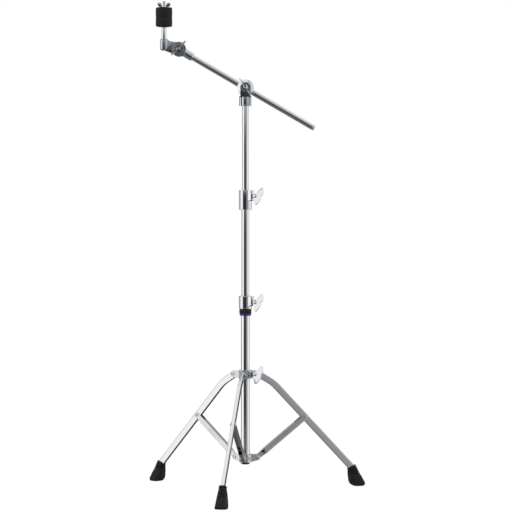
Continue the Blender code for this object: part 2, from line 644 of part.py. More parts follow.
def build_boom_tilter():
    """Sleeve, cheeks and face plate on the upper tube; toothed disc, rod eye, liner and wing nut."""
    centre = TILTER
    bore = UPPER_TUBE_R + GAP
    low, high = SLEEVE_Z
    edge = 0.0008
    sleeve = turned([(0.0, high - 0.0010), (bore, high - 0.0010), (bore, low),
                     (SLEEVE_R - edge, low), (SLEEVE_R, low + edge), (SLEEVE_R, high - edge),
                     (SLEEVE_R - edge, high + 0.0010), (0.0, high + 0.0010)])
    plate = ([(-0.0150, high - 0.0005), (0.0150, high - 0.0005), (0.0160, high + 0.0080)]
             + arc(centre, TILTER_PLATE_R, -10.0, 190.0, 10) + [(-0.0155, high + 0.0080)])
    outer = CHEEK_X[1]
    neck = slab([(-outer, high - 0.0012), (outer, high - 0.0012), (0.0150, high + 0.0018),
                 (-0.0150, high + 0.0018)], PLATE_Y[0], CHEEK_HALF_WIDTH)
    cheeks = []
    for side in (-1, 1):
        near, far = sorted((side * CHEEK_X[0], side * outer))
        corners = [(near, low), (far, low), (far, high), (near, high)]
        cheeks.append(slab(corners, -CHEEK_HALF_WIDTH, CHEEK_HALF_WIDTH))
    base = joined(sleeve, slab(plate, *PLATE_Y), neck, *cheeks)
    base = cut(base, across(BOLT_BORE_R, centre[0], centre[1], -0.03, 0.0))
    pivot = (centre[0], 0.0, centre[1])
    part("tilter_base", base, "dark_chrome")

    rim = TILTER_DISC_R
    disc = turned([(0.0, -DISC_Y[1]), (rim - 0.0014, -DISC_Y[1]), (rim, -DISC_Y[1] + 0.0014),
                   (rim, -DISC_Y[0] - 0.0014), (rim - 0.0014, -DISC_Y[0]), (0.0, -DISC_Y[0])], DISC_ROUND)
    disc = moved(disc, ABOUT_X, shift(*pivot))
    disc = cut(disc, across(BOLT_BORE_R, centre[0], centre[1], -0.02, 0.02))
    part("tilter_disc", disc, "chrome", None, pivot)

    eye = along_boom(rod(EYE_R, -EYE_HALF, EYE_HALF, MID_ROUND))
    shoulder = across(0.0085, centre[0], centre[1], DISC_Y[1] + GAP, ROD_Y, MID_ROUND)
    shank = across(BOLT_R, centre[0], centre[1], -0.0330, ROD_Y)
    passage = along_boom(rod(ROD_R + LINER_WALL + 2 * GAP, -0.05, 0.05, MID_ROUND))
    part("tilter_eye_bolt", cut(joined(eye, shoulder, shank), passage), "chrome", None, pivot)

    liner = pipe(ROD_R + GAP, ROD_R + GAP + LINER_WALL, -EYE_HALF, EYE_HALF, MID_ROUND)
    part("tilter_rod_liner", along_boom(liner), "nylon", None, (TILTER[0], ROD_Y, TILTER[1]))

    nut_start = PLATE_Y[0] - 0.0022
    ring = pipe(BOLT_BORE_R, 0.0085, -PLATE_Y[0] + GAP, -nut_start - GAP, MID_ROUND)
    part("tilter_washer", moved(ring, ABOUT_X, shift(*pivot)), "chrome")
    face_front = Matrix.Rotation(math.radians(-90.0), 4, "Z")
    blade_lean = Matrix.Rotation(math.radians(-36.0), 4, "Y")
    nut = moved(wings(0.0, 0.0, BOLT_BORE_R), face_front, blade_lean,
                shift(centre[0], nut_start, centre[1]))
    part("tilter_wing_nut", nut, "dark_chrome", None, (centre[0], nut_start, centre[1]))


def cymbal_pivot():
    """Cymbal tilter's pivot as (x, z) from the column axis."""
    return (TILTER[0] + CYMBAL_PIVOT_S * math.cos(ROD_SLOPE),
            TILTER[1] - CYMBAL_PIVOT_S * math.sin(ROD_SLOPE))


FERRULE_R = 0.0115
FERRULE_REACH = 0.0450              # from the cymbal tilter's pivot along the rod
ROD_DISC_Y = (0.0112, 0.0235)       # disc on the rod's side
ARM_Y = (-0.0025, 0.0109)           # disc and arm on the cymbal's side


def build_boom():
    """Rod with its end cap and the ferrule that carries half of the cymbal tilter."""
    rod_origin = (TILTER[0], ROD_Y, TILTER[1])
    tube = pipe(ROD_R - TUBE_WALL, ROD_R, *ROD_SPAN, MID_ROUND)
    part("boom_rod", along_boom(tube), "chrome", None, rod_origin)
    end = ROD_SPAN[1] + GAP
    dome = [(0.0, end), (ROD_R + 0.0002, end)]
    for step in range(6):
        angle = math.radians(90.0 * step / 5)
        dome.append(((ROD_R + 0.0002) * math.cos(angle), end + 0.0015 + 0.0045 * math.sin(angle)))
    dome[-1] = (0.0, dome[-1][1])
    part("boom_end_cap", along_boom(turned(dome, MID_ROUND)), "chrome", None, rod_origin)

    x, z = cymbal_pivot()
    reach = CYMBAL_PIVOT_S + FERRULE_REACH
    body = along_boom(turned([(0.0, CYMBAL_PIVOT_S + 0.006), (FERRULE_R - 0.001, CYMBAL_PIVOT_S + 0.006),
                              (FERRULE_R, CYMBAL_PIVOT_S + 0.008), (FERRULE_R, reach - 0.0015),
                              (FERRULE_R - 0.0015, reach), (0.0, reach)], MID_ROUND))
    rim = CYMBAL_DISC_R
    disc = turned([(0.0, -ROD_DISC_Y[1]), (rim - 0.0012, -ROD_DISC_Y[1]), (rim, -ROD_DISC_Y[1] + 0.0012),
                   (rim, -ROD_DISC_Y[0] - 0.0012), (rim - 0.0012, -ROD_DISC_Y[0]),
                   (0.0, -ROD_DISC_Y[0])], DISC_ROUND)
    disc = moved(disc, ABOUT_X, shift(x, 0.0, z))
    rod_bore = along_boom(rod(ROD_R + GAP, ROD_SPAN[0] - GAP, 0.0, MID_ROUND))
    bolt_hole = across(BOLT_BORE_R, x, z, -0.02, 0.05)
    part("boom_ferrule", cut(joined(body, disc), rod_bore, bolt_hole), "dark_chrome", None,
         (x, ROD_Y, z))
    nut = across(0.0068, x, z, ROD_Y + FERRULE_R + GAP, ROD_Y + FERRULE_R + 0.0062, 6)
    nut = cut(nut, across(BOLT_BORE_R, x, z, 0.0, 0.06))
    part("cymbal_tilter_nut", nut, "chrome", None, (x, ROD_Y, z))


# ---------------------------------------------------------------- cymbal tilter and seat
def build_cymbal_seat():
    """Tilter arm with its socket, the wing bolt, the post, sleeve, felts, washer and wing nut."""
    x, z = cymbal_pivot()
    pivot = (x, ARM_Y[0], z)
    rim = CYMBAL_DISC_R
    disc = turned([(0.0, -ARM_Y[1]), (rim - 0.0012, -ARM_Y[1]), (rim, -ARM_Y[1] + 0.0012),
                   (rim, -ARM_Y[0] - 0.0012), (rim - 0.0012, -ARM_Y[0]), (0.0, -ARM_Y[0])], DISC_ROUND)
    disc = moved(disc, ABOUT_X, shift(x, 0.0, z))
    arm_outline = [(x, z - 0.0190), (x, z + rim - 0.0008), (x - 0.0200, z + rim - 0.0008),
                   (POST_X + 0.0060, SOCKET_Z[1] - 0.0010), (POST_X, SOCKET_Z[1] - 0.0010),
                   (POST_X, SOCKET_Z[0] - 0.0028), (x - 0.0220, z - 0.0118), (x - 0.0075, z - 0.0182)]
    arm = slab(arm_outline, ARM_Y[0] + 0.0008, ARM_Y[1] - 0.0008)
    socket = turned([(0.0, SOCKET_Z[0] - 0.0030), (0.0080, SOCKET_Z[0] - 0.0030),
                     (SOCKET_R, SOCKET_Z[0]), (SOCKET_R, SOCKET_Z[1] - 0.0008),
                     (SOCKET_R - 0.0008, SOCKET_Z[1]), (0.0, SOCKET_Z[1])], MID_ROUND)
    socket = moved(socket, shift(POST_X, POST_Y))
    post_bore = moved(rod(POST_R + GAP, POST_Z[0] - GAP, 1.4, MID_ROUND), shift(POST_X, POST_Y))
    bolt_hole = across(BOLT_BORE_R, x, z, -0.03, 0.03)
    part("cymbal_tilter_arm", cut(joined(disc, arm, socket), post_bore, bolt_hole), "dark_chrome",
         None, pivot)

    face_front = Matrix.Rotation(math.radians(-90.0), 4, "Z")
    blade_lean = Matrix.Rotation(math.radians(45.0), 4, "Y")
    hub_y = ARM_Y[0] - GAP
    shank = ROD_Y + FERRULE_R + 0.0080 - hub_y
    bolt = moved(wings(BOLT_R, shank), face_front, blade_lean, shift(x, hub_y, z))
    part("cymbal_tilter_wing_bolt", bolt, "dark_chrome", None, (x, hub_y, z))

    seat = guide("seat_axis", column, (POST_X, POST_Y, 0.0))
    post = [(0.0, POST_Z[0]), (POST_R, POST_Z[0]), (POST_R, POST_Z[1] - 0.0005),
            (POST_R - 0.0005, POST_Z[1]), (STUD_R, POST_Z[1]), (STUD_R, STUD_TOP - 0.0008),
            (STUD_R - 0.0008, STUD_TOP), (0.0, STUD_TOP)]
    part("cymbal_post", turned(post, MID_ROUND), "chrome", seat)
    inner = STUD_R + GAP
    outer = 0.0056
    flange = (POST_Z[1] + GAP, FELT_SEATS[0] - GAP)
    sleeve = [(inner, flange[0]), (0.0106, flange[0]), (0.0106, flange[1]), (outer, flange[1]),
              (outer, FELT_SEATS[2] - 2 * GAP), (inner, FELT_SEATS[2] - 2 * GAP)]
    part("cymbal_sleeve", turned(sleeve, MID_ROUND), "black_plastic", seat)
    for name, low, high in (("lower_felt", FELT_SEATS[0], FELT_SEATS[1] - GAP),
                            ("upper_felt", FELT_SEATS[1], FELT_SEATS[2] - GAP)):
        soft = 0.0016
        felt = [(outer + GAP, low), (FELT_R - soft, low), (FELT_R, low + soft), (FELT_R, high - soft),
                (FELT_R - soft, high), (outer + GAP, high)]
        part(name, turned(felt), "felt", seat)
    top = FELT_SEATS[2]
    part("top_washer", pipe(inner, 0.0105, top, top + 0.0012, MID_ROUND), "chrome", seat)
    build_top_nut(seat, top + 0.0012 + GAP, inner)


def build_top_nut(seat, low, bore):
    """Wing nut on the stud: low hub with two wings that rise and flare."""
    hub = turned([(0.0, low), (0.0074, low), (0.0066, low + 0.0060), (0.0060, low + 0.0075),
                  (0.0, low + 0.0075)], MID_ROUND)
    half = [(0.0040, low + 0.0020), (0.0110, low + 0.0010), (0.0165, low + 0.0036),
            (0.0188, low + 0.0090), (0.0180, low + 0.0122), (0.0145, low + 0.0138),
            (0.0102, low + 0.0132), (0.0070, low + 0.0104), (0.0064, low + 0.0070),
            (0.0040, low + 0.0066)]
    mirrored = [(-x, z) for x, z in reversed(half)]
    nut = joined(hub, slab(half + mirrored, -0.0014, 0.0014))
    part("top_wing_nut", cut(nut, rod(bore, low - 0.01, low + 0.02, MID_ROUND)), "chrome", seat)


build_column()
build_collars()
build_tripod()
build_boom_tilter()
build_boom()
build_cymbal_seat()
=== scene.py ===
"""Looks of the boom cymbal stand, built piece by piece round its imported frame.

Every visible piece is a finely made mesh that stands for one node of the frame and rides on that
node's body. Sizes and places come from the frame's boxes and joints; the dataclass fields hold
what the frame's plain solids don't show, such as fillets, grooves, teeth and ribs.
"""
import json
import logging
import math
from dataclasses import dataclass
from enum import Enum
from typing import Any, Iterable, Sequence, Union

import bmesh
import bpy
from mathutils import Matrix, Vector, noise


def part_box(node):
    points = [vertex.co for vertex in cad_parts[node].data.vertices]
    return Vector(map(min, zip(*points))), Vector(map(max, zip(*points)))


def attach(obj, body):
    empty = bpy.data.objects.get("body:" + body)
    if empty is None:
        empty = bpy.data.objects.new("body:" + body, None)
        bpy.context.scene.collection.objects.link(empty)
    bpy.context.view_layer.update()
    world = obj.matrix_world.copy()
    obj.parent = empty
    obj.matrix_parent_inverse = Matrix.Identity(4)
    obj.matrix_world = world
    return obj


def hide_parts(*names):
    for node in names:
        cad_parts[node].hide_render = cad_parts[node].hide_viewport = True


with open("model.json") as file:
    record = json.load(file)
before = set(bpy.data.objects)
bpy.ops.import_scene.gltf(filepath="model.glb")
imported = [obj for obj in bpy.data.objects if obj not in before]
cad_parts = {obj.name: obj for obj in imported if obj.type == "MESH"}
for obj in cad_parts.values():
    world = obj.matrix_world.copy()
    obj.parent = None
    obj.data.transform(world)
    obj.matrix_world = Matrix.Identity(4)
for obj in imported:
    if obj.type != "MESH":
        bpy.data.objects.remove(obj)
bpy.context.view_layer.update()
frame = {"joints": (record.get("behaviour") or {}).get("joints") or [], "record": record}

LOG = logging.getLogger("cymbal_stand")

Colour = tuple[float, float, float]
Corner = Sequence[float]
Mesh = bpy.types.Mesh
Value = Union["Wire", float, Sequence[float]]


# ------------------------------------------------------------------------- shader wiring
class Wire:
    """An output socket that Python's operators work on, each adding a Math node."""

    def __init__(self, graph: "Graph", socket: bpy.types.NodeSocket) -> None:
        """Hold a socket and the graph it belongs to."""
        self.graph = graph
        self.socket = socket

    def _math(self, operation: str, first: Value, second: Value) -> "Wire":
        """Add a Math node on two values."""
        return self.graph.node("ShaderNodeMath", {"operation": operation}, {0: first, 1: second})

    def __add__(self, other: Value) -> "Wire":
        """Sum."""
        return self._math("ADD", self, other)

    def __radd__(self, other: Value) -> "Wire":
        """Sum with the number first."""
        return self._math("ADD", other, self)

    def __sub__(self, other: Value) -> "Wire":
        """Difference."""
        return self._math("SUBTRACT", self, other)

    def __rsub__(self, other: Value) -> "Wire":
        """Difference with the number first."""
        return self._math("SUBTRACT", other, self)

    def __mul__(self, other: Value) -> "Wire":
        """Product."""
        return self._math("MULTIPLY", self, other)

    def __rmul__(self, other: Value) -> "Wire":
        """Product with the number first."""
        return self._math("MULTIPLY", other, self)

    def __truediv__(self, other: Value) -> "Wire":
        """Quotient."""
        return self._math("DIVIDE", self, other)

    def largest(self, other: Value) -> "Wire":
        """The larger of two values."""
        return self._math("MAXIMUM", self, other)

    def between(self, low: float, high: float) -> "Wire":
        """Smooth step from 0 at low to 1 at high, or the other way when low is above high.

        Args:
            low: Value that gives 0.
            high: Value that gives 1.

        Returns:
            The stepped value.
        """
        turned = low > high
        ends = {"From Min": min(low, high), "From Max": max(low, high)}
        step = self.graph.node("ShaderNodeMapRange", {"interpolation_type": "SMOOTHSTEP"},
                               {"Value": self, **ends})
        return 1.0 - step if turned else step


class Graph:
    """A node tree under construction."""

    def __init__(self, tree: bpy.types.NodeTree) -> None:
        """Start from an empty tree."""
        self.tree = tree
        tree.nodes.clear()

    def node(self, kind: str, settings: dict[str, Any] | None = None,
             inputs: dict[str | int, Value] | None = None, output: str | int = 0) -> Wire:
        """Add one node.

        Args:
            kind: Blender's name for the node's type.
            settings: Properties set first; "stops" holds a ramp's (place, colour) pairs.
            inputs: Values or wires for the sockets, by name or number.
            output: Name or number of the output that is wanted.

        Returns:
            The wire that leaves that output.
        """
        made = self.tree.nodes.new(kind)
        for name, value in (settings or {}).items():
            if name == "stops":
                self._set_stops(made.color_ramp, value)
            else:
                setattr(made, name, value)
        for name, value in (inputs or {}).items():
            socket = made.inputs[name]
            if isinstance(value, Wire):
                self.tree.links.new(value.socket, socket)
            elif isinstance(value, (int, float)):
                socket.default_value = value
            else:
                filled = tuple(value) + (1.0,) * (len(socket.default_value) - len(value))
                socket.default_value = filled
        return Wire(self, made.outputs[output] if made.outputs else None)

    @staticmethod
    def _set_stops(ramp: bpy.types.ColorRamp, stops: Sequence[tuple[float, Colour]]) -> None:
        """Give a colour ramp its stops."""
        while len(ramp.elements) > 1:
            ramp.elements.remove(ramp.elements[-1])
        for index, (place, colour) in enumerate(stops):
            stop = ramp.elements[0] if index == 0 else ramp.elements.new(place)
            stop.position = place
            stop.color = (*colour, 1.0)

    def place(self) -> Wire:
        """Position in the piece's own frame."""
        return self.node("ShaderNodeTexCoord", output="Object")

    def drawn_out(self, length: float, lean: float = 0.0, twist: float = 0.0) -> Wire:
        """Position stretched along a direction, so that noise on it becomes lines.

        Args:
            length: How many times longer than wide the lines are.
            lean: Angle from +Z to the lines, about Y, in radians.
            twist: Further turn about Z, in radians.

        Returns:
            The stretched position.
        """
        return self.node("ShaderNodeMapping", {"vector_type": "TEXTURE"},
                         {"Vector": self.place(), "Rotation": (0.0, lean, twist),
                          "Scale": (1.0, 1.0, length)})

    def noise(self, where: Wire, scale: float, detail: float = 3.0, rough: float = 0.5) -> Wire:
        """Cloudy noise from 0 to 1."""
        return self.node("ShaderNodeTexNoise", None,
                         {"Vector": where, "Scale": scale, "Detail": detail, "Roughness": rough})

    def spots(self, where: Wire, scale: float, size: float) -> Wire:
        """Small round spots, 1 in their middles.

        Args:
            where: Position.
            scale: Spots to the metre.
            size: Radius of a spot as a share of their spacing.

        Returns:
            The spots as a mask.
        """
        away = self.node("ShaderNodeTexVoronoi", None, {"Vector": where, "Scale": scale})
        return away.between(size, 0.0)

    def mixed(self, share: Value, first: Value, second: Value, blend: str = "MIX") -> Wire:
        """Blend of two colours."""
        return self.node("ShaderNodeMix", {"data_type": "RGBA", "blend_type": blend},
                         {0: share, 6: first, 7: second}, 2)

    def bump(self, height: Wire, depth: float, strength: float) -> Wire:
        """Normal from a height between 0 and 1 that is depth metres deep."""
        return self.node("ShaderNodeBump", None,
                         {"Height": height, "Distance": depth, "Strength": strength})

    def surface(self, inputs: dict[str, Value]) -> None:
        """End the tree in a Principled shader."""
        shader = self.node("ShaderNodeBsdfPrincipled", None, inputs)
        self.node("ShaderNodeOutputMaterial", None, {"Surface": shader})


# ------------------------------------------------------------------------- finishes
@dataclass(frozen=True)
class Finish:
    """A finish that is made into a material once and shared by its pieces."""

    name: str
    slot: str

    def wire(self, graph: Graph) -> None:
        """Draw the finish's nodes."""
        raise NotImplementedError

    def material(self) -> bpy.types.Material:
        """The finish's material, made the first time it is asked for."""
        found = bpy.data.materials.get(self.name)
        if found is None:
            found = bpy.data.materials.new(self.name)
            found.use_nodes = True
            self.wire(Graph(found.node_tree))
        return found


@dataclass(frozen=True)
class Plating(Finish):
    """Metal plate with polishing lines, haze from handling and a few pits."""

    colour: Colour = (0.88, 0.89, 0.90)
    haze_colour: Colour = (0.74, 0.76, 0.79)
    gloss: float = 0.045            # roughness of a clean spot
    haze: float = 0.07              # roughness that the haze adds
    lines: float = 0.05             # strength of the polishing lines
    peel: float = 0.02              # strength of the casting's slight waviness
    pits: float = 0.35              # darkness of the pits
    lean: float = 0.0               # direction of the lines, about Y from +Z
    line_scale: float = 1500.0
    line_length: float = 45.0

    def wire(self, graph: Graph) -> None:
        """Draw the plate's nodes."""
        place = graph.place()
        drawn = graph.noise(graph.drawn_out(self.line_length, self.lean), self.line_scale, 2.0)
        cloud = graph.noise(place, 17.0, 6.0, 0.62).between(0.44, 0.72)
        wiped = graph.noise(graph.drawn_out(7.0, self.lean), 120.0, 4.0, 0.6).between(0.5, 0.8)
        pit = graph.spots(place, 520.0, 0.07) * graph.noise(place, 90.0).between(0.55, 0.7)
        dull = cloud * 0.65 + wiped * 0.35
        tone = graph.mixed(dull, self.colour, self.haze_colour)
        tone = graph.mixed(pit * self.pits, tone, (0.16, 0.14, 0.12))
        rough = self.gloss + dull * self.haze + drawn * (self.lines * 0.25) + pit * 0.25
        wave = graph.noise(place, 240.0, 2.0)
        height = drawn * self.lines + wave * self.peel - pit * 0.3
        graph.surface({"Base Color": tone, "Metallic": 1.0, "Roughness": rough,
                       "Normal": graph.bump(height, 0.00012, 0.55)})


@dataclass(frozen=True)
class Moulding(Finish):
    """Moulded plastic or nylon with a fine satin grain and faint flow marks."""

    colour: Colour = (0.020, 0.020, 0.022)
    worn: Colour = (0.060, 0.060, 0.065)
    rough: float = 0.38
    grain: float = 0.25
    specular: float = 0.5

    def wire(self, graph: Graph) -> None:
        """Draw the moulding's nodes."""
        place = graph.place()
        grain = graph.noise(place, 2600.0, 3.0, 0.6)
        flow = graph.noise(graph.drawn_out(9.0), 160.0, 4.0).between(0.42, 0.75)
        scuff = graph.noise(place, 60.0, 6.0, 0.7).between(0.55, 0.8)
        tone = graph.mixed(scuff * 0.55 + flow * 0.25, self.colour, self.worn)
        rough = self.rough + flow * 0.08 + scuff * 0.14 + grain * 0.05
        height = grain * self.grain + flow * 0.12
        graph.surface({"Base Color": tone, "Roughness": rough, "Specular IOR Level": self.specular,
                       "Normal": graph.bump(height, 0.00025, 0.6)})


@dataclass(frozen=True)
class BootRubber(Finish):
    """Matt moulded rubber, dusty and scuffed towards the sole."""

    colour: Colour = (0.0135, 0.0135, 0.0140)
    bloom: Colour = (0.036, 0.036, 0.037)
    dust: Colour = (0.105, 0.100, 0.094)
    dusty_height: float = 0.014

    def wire(self, graph: Graph) -> None:
        """Draw the rubber's nodes."""
        place = graph.place()
        height = graph.node("ShaderNodeSeparateXYZ", None, {"Vector": place}, "Z")
        grain = graph.noise(place, 1500.0, 4.0, 0.6)
        pores = graph.spots(place, 900.0, 0.25)
        bloom = graph.noise(place, 46.0, 5.0, 0.6).between(0.42, 0.7)
        near_sole = height.between(self.dusty_height, 0.001)
        dust = near_sole * graph.noise(place, 150.0, 6.0, 0.7).between(0.4, 0.72)
        tone = graph.mixed(bloom * 0.5, self.colour, self.bloom)
        tone = graph.mixed(dust * 0.6, tone, self.dust)
        rough = 0.56 + bloom * 0.12 + dust * 0.2 + grain * 0.06
        relief = grain * 0.5 - pores * 0.35 + bloom * 0.2
        graph.surface({"Base Color": tone, "Roughness": rough, "Specular IOR Level": 0.42,
                       "Normal": graph.bump(relief, 0.0004, 0.5)})


@dataclass(frozen=True)
class PressedFelt(Finish):
    """Dense pressed wool: fibres lying every way, pale stray ones among the dark."""

    colour: Colour = (0.0130, 0.0120, 0.0105)
    fibre: Colour = (0.052, 0.048, 0.042)
    stray: Colour = (0.150, 0.135, 0.115)

    def wire(self, graph: Graph) -> None:
        """Draw the felt's nodes."""
        level = graph.noise(graph.drawn_out(12.0, math.radians(90.0)), 1500.0, 3.0)
        rising = graph.noise(graph.drawn_out(12.0, math.radians(60.0), 0.6), 1300.0, 3.0)
        falling = graph.noise(graph.drawn_out(12.0, math.radians(118.0), -0.5), 1400.0, 3.0)
        mat = level.largest(rising).largest(falling)
        clump = graph.noise(graph.place(), 130.0, 5.0, 0.65)
        fibres = mat.between(0.48, 0.78)
        tone = graph.mixed(fibres * 0.75 + clump * 0.2, self.colour, self.fibre)
        tone = graph.mixed(mat.between(0.71, 0.82) * 0.7, tone, self.stray)
        graph.surface({"Base Color": tone, "Roughness": 0.9 + clump * 0.08,
                       "Specular IOR Level": 0.18, "Sheen Weight": 0.35, "Sheen Roughness": 0.6,
                       "Normal": graph.bump(mat * 0.7 + clump * 0.5, 0.0007, 0.85)})


class Shop(Enum):
    """The finishes that the stand's pieces come in."""

    TUBE = Plating("tube_chrome", "tube_chrome")
    CASTING = Plating("cast_chrome", "cast_chrome", gloss=0.08, haze=0.09, lines=0.02, peel=0.05,
                      line_scale=900.0, line_length=5.0)
    DARK_CASTING = Plating("tilter_chrome", "cast_chrome", (0.62, 0.65, 0.68), (0.50, 0.53, 0.56),
                           gloss=0.16, haze=0.10, lines=0.03, peel=0.06, line_scale=900.0,
                           line_length=5.0)
    PRESSING = Plating("collar_chrome", "collar_chrome", (0.70, 0.71, 0.72), (0.56, 0.57, 0.59),
                       gloss=0.09, haze=0.10, lines=0.05, peel=0.05, line_length=14.0)
    LEG = Plating("leg_chrome", "leg_chrome", (0.50, 0.50, 0.49), (0.38, 0.38, 0.37), gloss=0.06,
                  haze=0.08, lines=0.07, peel=0.03, lean=math.radians(136.0))
    BRACE = Plating("brace_chrome", "leg_chrome", (0.68, 0.68, 0.67), (0.52, 0.52, 0.51),
                    gloss=0.06, haze=0.08, lines=0.07, peel=0.03, lean=math.radians(52.7))
    RIVET = Plating("rivet_plate", "rivet", (0.86, 0.79, 0.62), (0.62, 0.54, 0.38), gloss=0.11,
                    haze=0.14, lines=0.03, peel=0.08, line_length=3.0)
    RUBBER = BootRubber("boot_rubber", "boot_rubber")
    BLACK = Moulding("black_plastic", "black_plastic")
    ACCENT = Moulding("accent_plastic", "accent_plastic", (0.062, 0.045, 0.430),
                      (0.150, 0.130, 0.560), rough=0.30, grain=0.15)
    NYLON = Moulding("nylon", "nylon", (0.040, 0.040, 0.045), (0.100, 0.100, 0.105), rough=0.44,
                     grain=0.18)
    FELT = PressedFelt("felt", "felt")


# ------------------------------------------------------------------------- shapes
class Form:
    """Ways to make closed meshes."""

    @staticmethod
    def closed(form: bmesh.types.BMesh) -> Mesh:
        """Weld a bmesh, turn its faces outwards and hand it over as a mesh."""
        bmesh.ops.remove_doubles(form, verts=form.verts, dist=2e-7)
        bmesh.ops.recalc_face_normals(form, faces=form.faces)
        mesh = bpy.data.meshes.new("form")
        form.to_mesh(mesh)
        form.free()
        return mesh

    @staticmethod
    def rounded(outline: Sequence[Corner], steps: int = 4) -> list[tuple[float, float]]:
        """Round a closed outline's corners.

        Args:
            outline: Corners as (a, b) or (a, b, size), where size is how far from the corner
                its rounding starts.
            steps: Straight pieces in one rounding.

        Returns:
            The outline's points.
        """
        points = []
        for index, corner in enumerate(outline):
            here = Vector(corner[:2])
            if len(corner) < 3 or corner[2] == 0.0:
                points.append(tuple(here))
                continue
            before = Vector(outline[index - 1][:2]) - here
            after = Vector(outline[(index + 1) % len(outline)][:2]) - here
            size = min(corner[2], before.length * 0.48, after.length * 0.48)
            start = here + before.normalized() * size
            end = here + after.normalized() * size
            for step in range(steps + 1):
                share = step / steps
                point = start.lerp(here, share).lerp(here.lerp(end, share), share)
                points.append(tuple(point))
        return points

    @staticmethod
    def flowing(points: Sequence[Corner], steps: int = 6) -> list[tuple[float, float]]:
        """Smooth closed curve through points.

        Args:
            points: Points that the curve passes through.
            steps: Straight pieces between two of them.

        Returns:
            The curve's points.
        """
        count = len(points)
        curve = []
        for index in range(count):
            p0, p1, p2, p3 = (Vector(points[(index + k - 1) % count]) for k in range(4))
            for step in range(steps):
                t = step / steps
                point = 0.5 * (2 * p1 + (p2 - p0) * t + (2 * p0 - 5 * p1 + 4 * p2 - p3) * t * t
                               + (3 * p1 - p0 - 3 * p2 + p3) * t ** 3)
                curve.append(tuple(point))
        return curve

    @staticmethod
    def arc(centre: Corner, radius: float, start: float, end: float, steps: int) -> list:
        """Points on an arc, angles in degrees."""
        points = []
        for step in range(steps + 1):
            angle = math.radians(start + (end - start) * step / steps)
            points.append((centre[0] + radius * math.cos(angle),
                           centre[1] + radius * math.sin(angle)))
        return points

    @classmethod
    def turned(cls, outline: Sequence[Corner], sides: int = 72, steps: int = 4) -> Mesh:
        """Spin a closed (radius, height[, rounding]) outline about Z."""
        form = bmesh.new()
        rings = []
        for radius, height in cls.rounded(outline, steps):
            if radius < 1e-9:
                rings.append([form.verts.new((0.0, 0.0, height))])
                continue
            turns = (2 * math.pi * step / sides for step in range(sides))
            rings.append([form.verts.new((radius * math.cos(a), radius * math.sin(a), height))
                          for a in turns])
        cls.skin(form, rings, sides, True)
        return cls.closed(form)

    @classmethod
    def ring(cls, inner: float, outer: float, low: float, high: float, edge: float) -> Mesh:
        """Flat ring or short tube about Z with its edges eased."""
        return cls.turned([(inner, low, edge), (outer, low, edge), (outer, high, edge),
                           (inner, high, edge)], 64)

    @staticmethod
    def skin(form: bmesh.types.BMesh, rings: list, sides: int, wrap: bool) -> None:
        """Join neighbouring rings with faces, a ring of one vertex being a point."""
        last = len(rings) if wrap else len(rings) - 1
        for index in range(last):
            ring = rings[index]
            other = rings[(index + 1) % len(rings)]
            for step in range(sides):
                corners = [ring[step % len(ring)], ring[(step + 1) % len(ring)],
                           other[(step + 1) % len(other)], other[step % len(other)]]
                corners = list(dict.fromkeys(corners))
                if len(corners) > 2:
                    form.faces.new(corners)

    @classmethod
    def lofted(cls, rings: Sequence[Sequence[Vector]]) -> Mesh:
        """Skin over rings of equal length, closed by a face at each end."""
        form = bmesh.new()
        made = [[form.verts.new(point) for point in ring] for ring in rings]
        cls.skin(form, made, len(made[0]), False)
        form.faces.new(list(reversed(made[0])))
        form.faces.new(made[-1])
        return cls.closed(form)

    @classmethod
    def slab(cls, outline: Sequence[Corner], low: float, high: float, steps: int = 4) -> Mesh:
        """Push a closed (x, z[, rounding]) outline along Y from low to high."""
        points = cls.rounded(outline, steps)
        return cls.lofted([[Vector((x, y, z)) for x, z in points] for y in (low, high)])

    @staticmethod
    def moved(mesh: Mesh, *steps: Matrix) -> Mesh:
        """Apply placement matrices, first one first."""
        for step in steps:
            mesh.transform(step)
        return mesh

    @classmethod
    def pin(cls, radius: float, start: Vector, end: Vector, sides: int = 32) -> Mesh:
        """Plain round cutter or shank from one point to another."""
        along = end - start
        mesh = cls.turned([(0.0, 0.0), (radius, 0.0), (radius, along.length), (0.0, along.length)],
                          sides)
        turn = along.to_track_quat("Z", "Y").to_matrix().to_4x4()
        return cls.moved(mesh, turn, Matrix.Translation(start))

    @staticmethod
    def _modified(mesh: Mesh, kind: str, settings: dict[str, Any]) -> Mesh:
        """Mesh with one modifier applied."""
        body = bpy.data.objects.new("body", mesh)
        bpy.context.scene.collection.objects.link(body)
        step = body.modifiers.new("step", kind)
        for name, value in settings.items():
            setattr(step, name, value)
        bpy.context.view_layer.update()
        made = bpy.data.meshes.new_from_object(
            body.evaluated_get(bpy.context.evaluated_depsgraph_get()))
        bpy.data.objects.remove(body, do_unlink=True)
        return made

    @classmethod
    def _boolean(cls, operation: str, first: Mesh, others: Iterable[Mesh]) -> Mesh:
        """Boolean of a mesh with each of the others in turn."""
        for other in others:
            tool = bpy.data.objects.new("tool", other)
            bpy.context.scene.collection.objects.link(tool)
            first = cls._modified(first, "BOOLEAN", {"operation": operation, "solver": "EXACT",
                                                     "object": tool})
            bpy.data.objects.remove(tool, do_unlink=True)
        form = bmesh.new()
        form.from_mesh(first)
        bmesh.ops.remove_doubles(form, verts=form.verts, dist=4e-6)
        bmesh.ops.dissolve_limit(form, angle_limit=math.radians(0.05), verts=form.verts,
                                 edges=form.edges)
        return cls.closed(form)

    @classmethod
    def joined(cls, first: Mesh, *others: Mesh) -> Mesh:
        """Union."""
        return cls._boolean("UNION", first, others)

    @classmethod
    def cut(cls, first: Mesh, *tools: Mesh) -> Mesh:
        """First mesh less the tools."""
        return cls._boolean("DIFFERENCE", first, tools)

    @classmethod
    def common(cls, first: Mesh, *others: Mesh) -> Mesh:
        """Intersection."""
        return cls._boolean("INTERSECT", first, others)

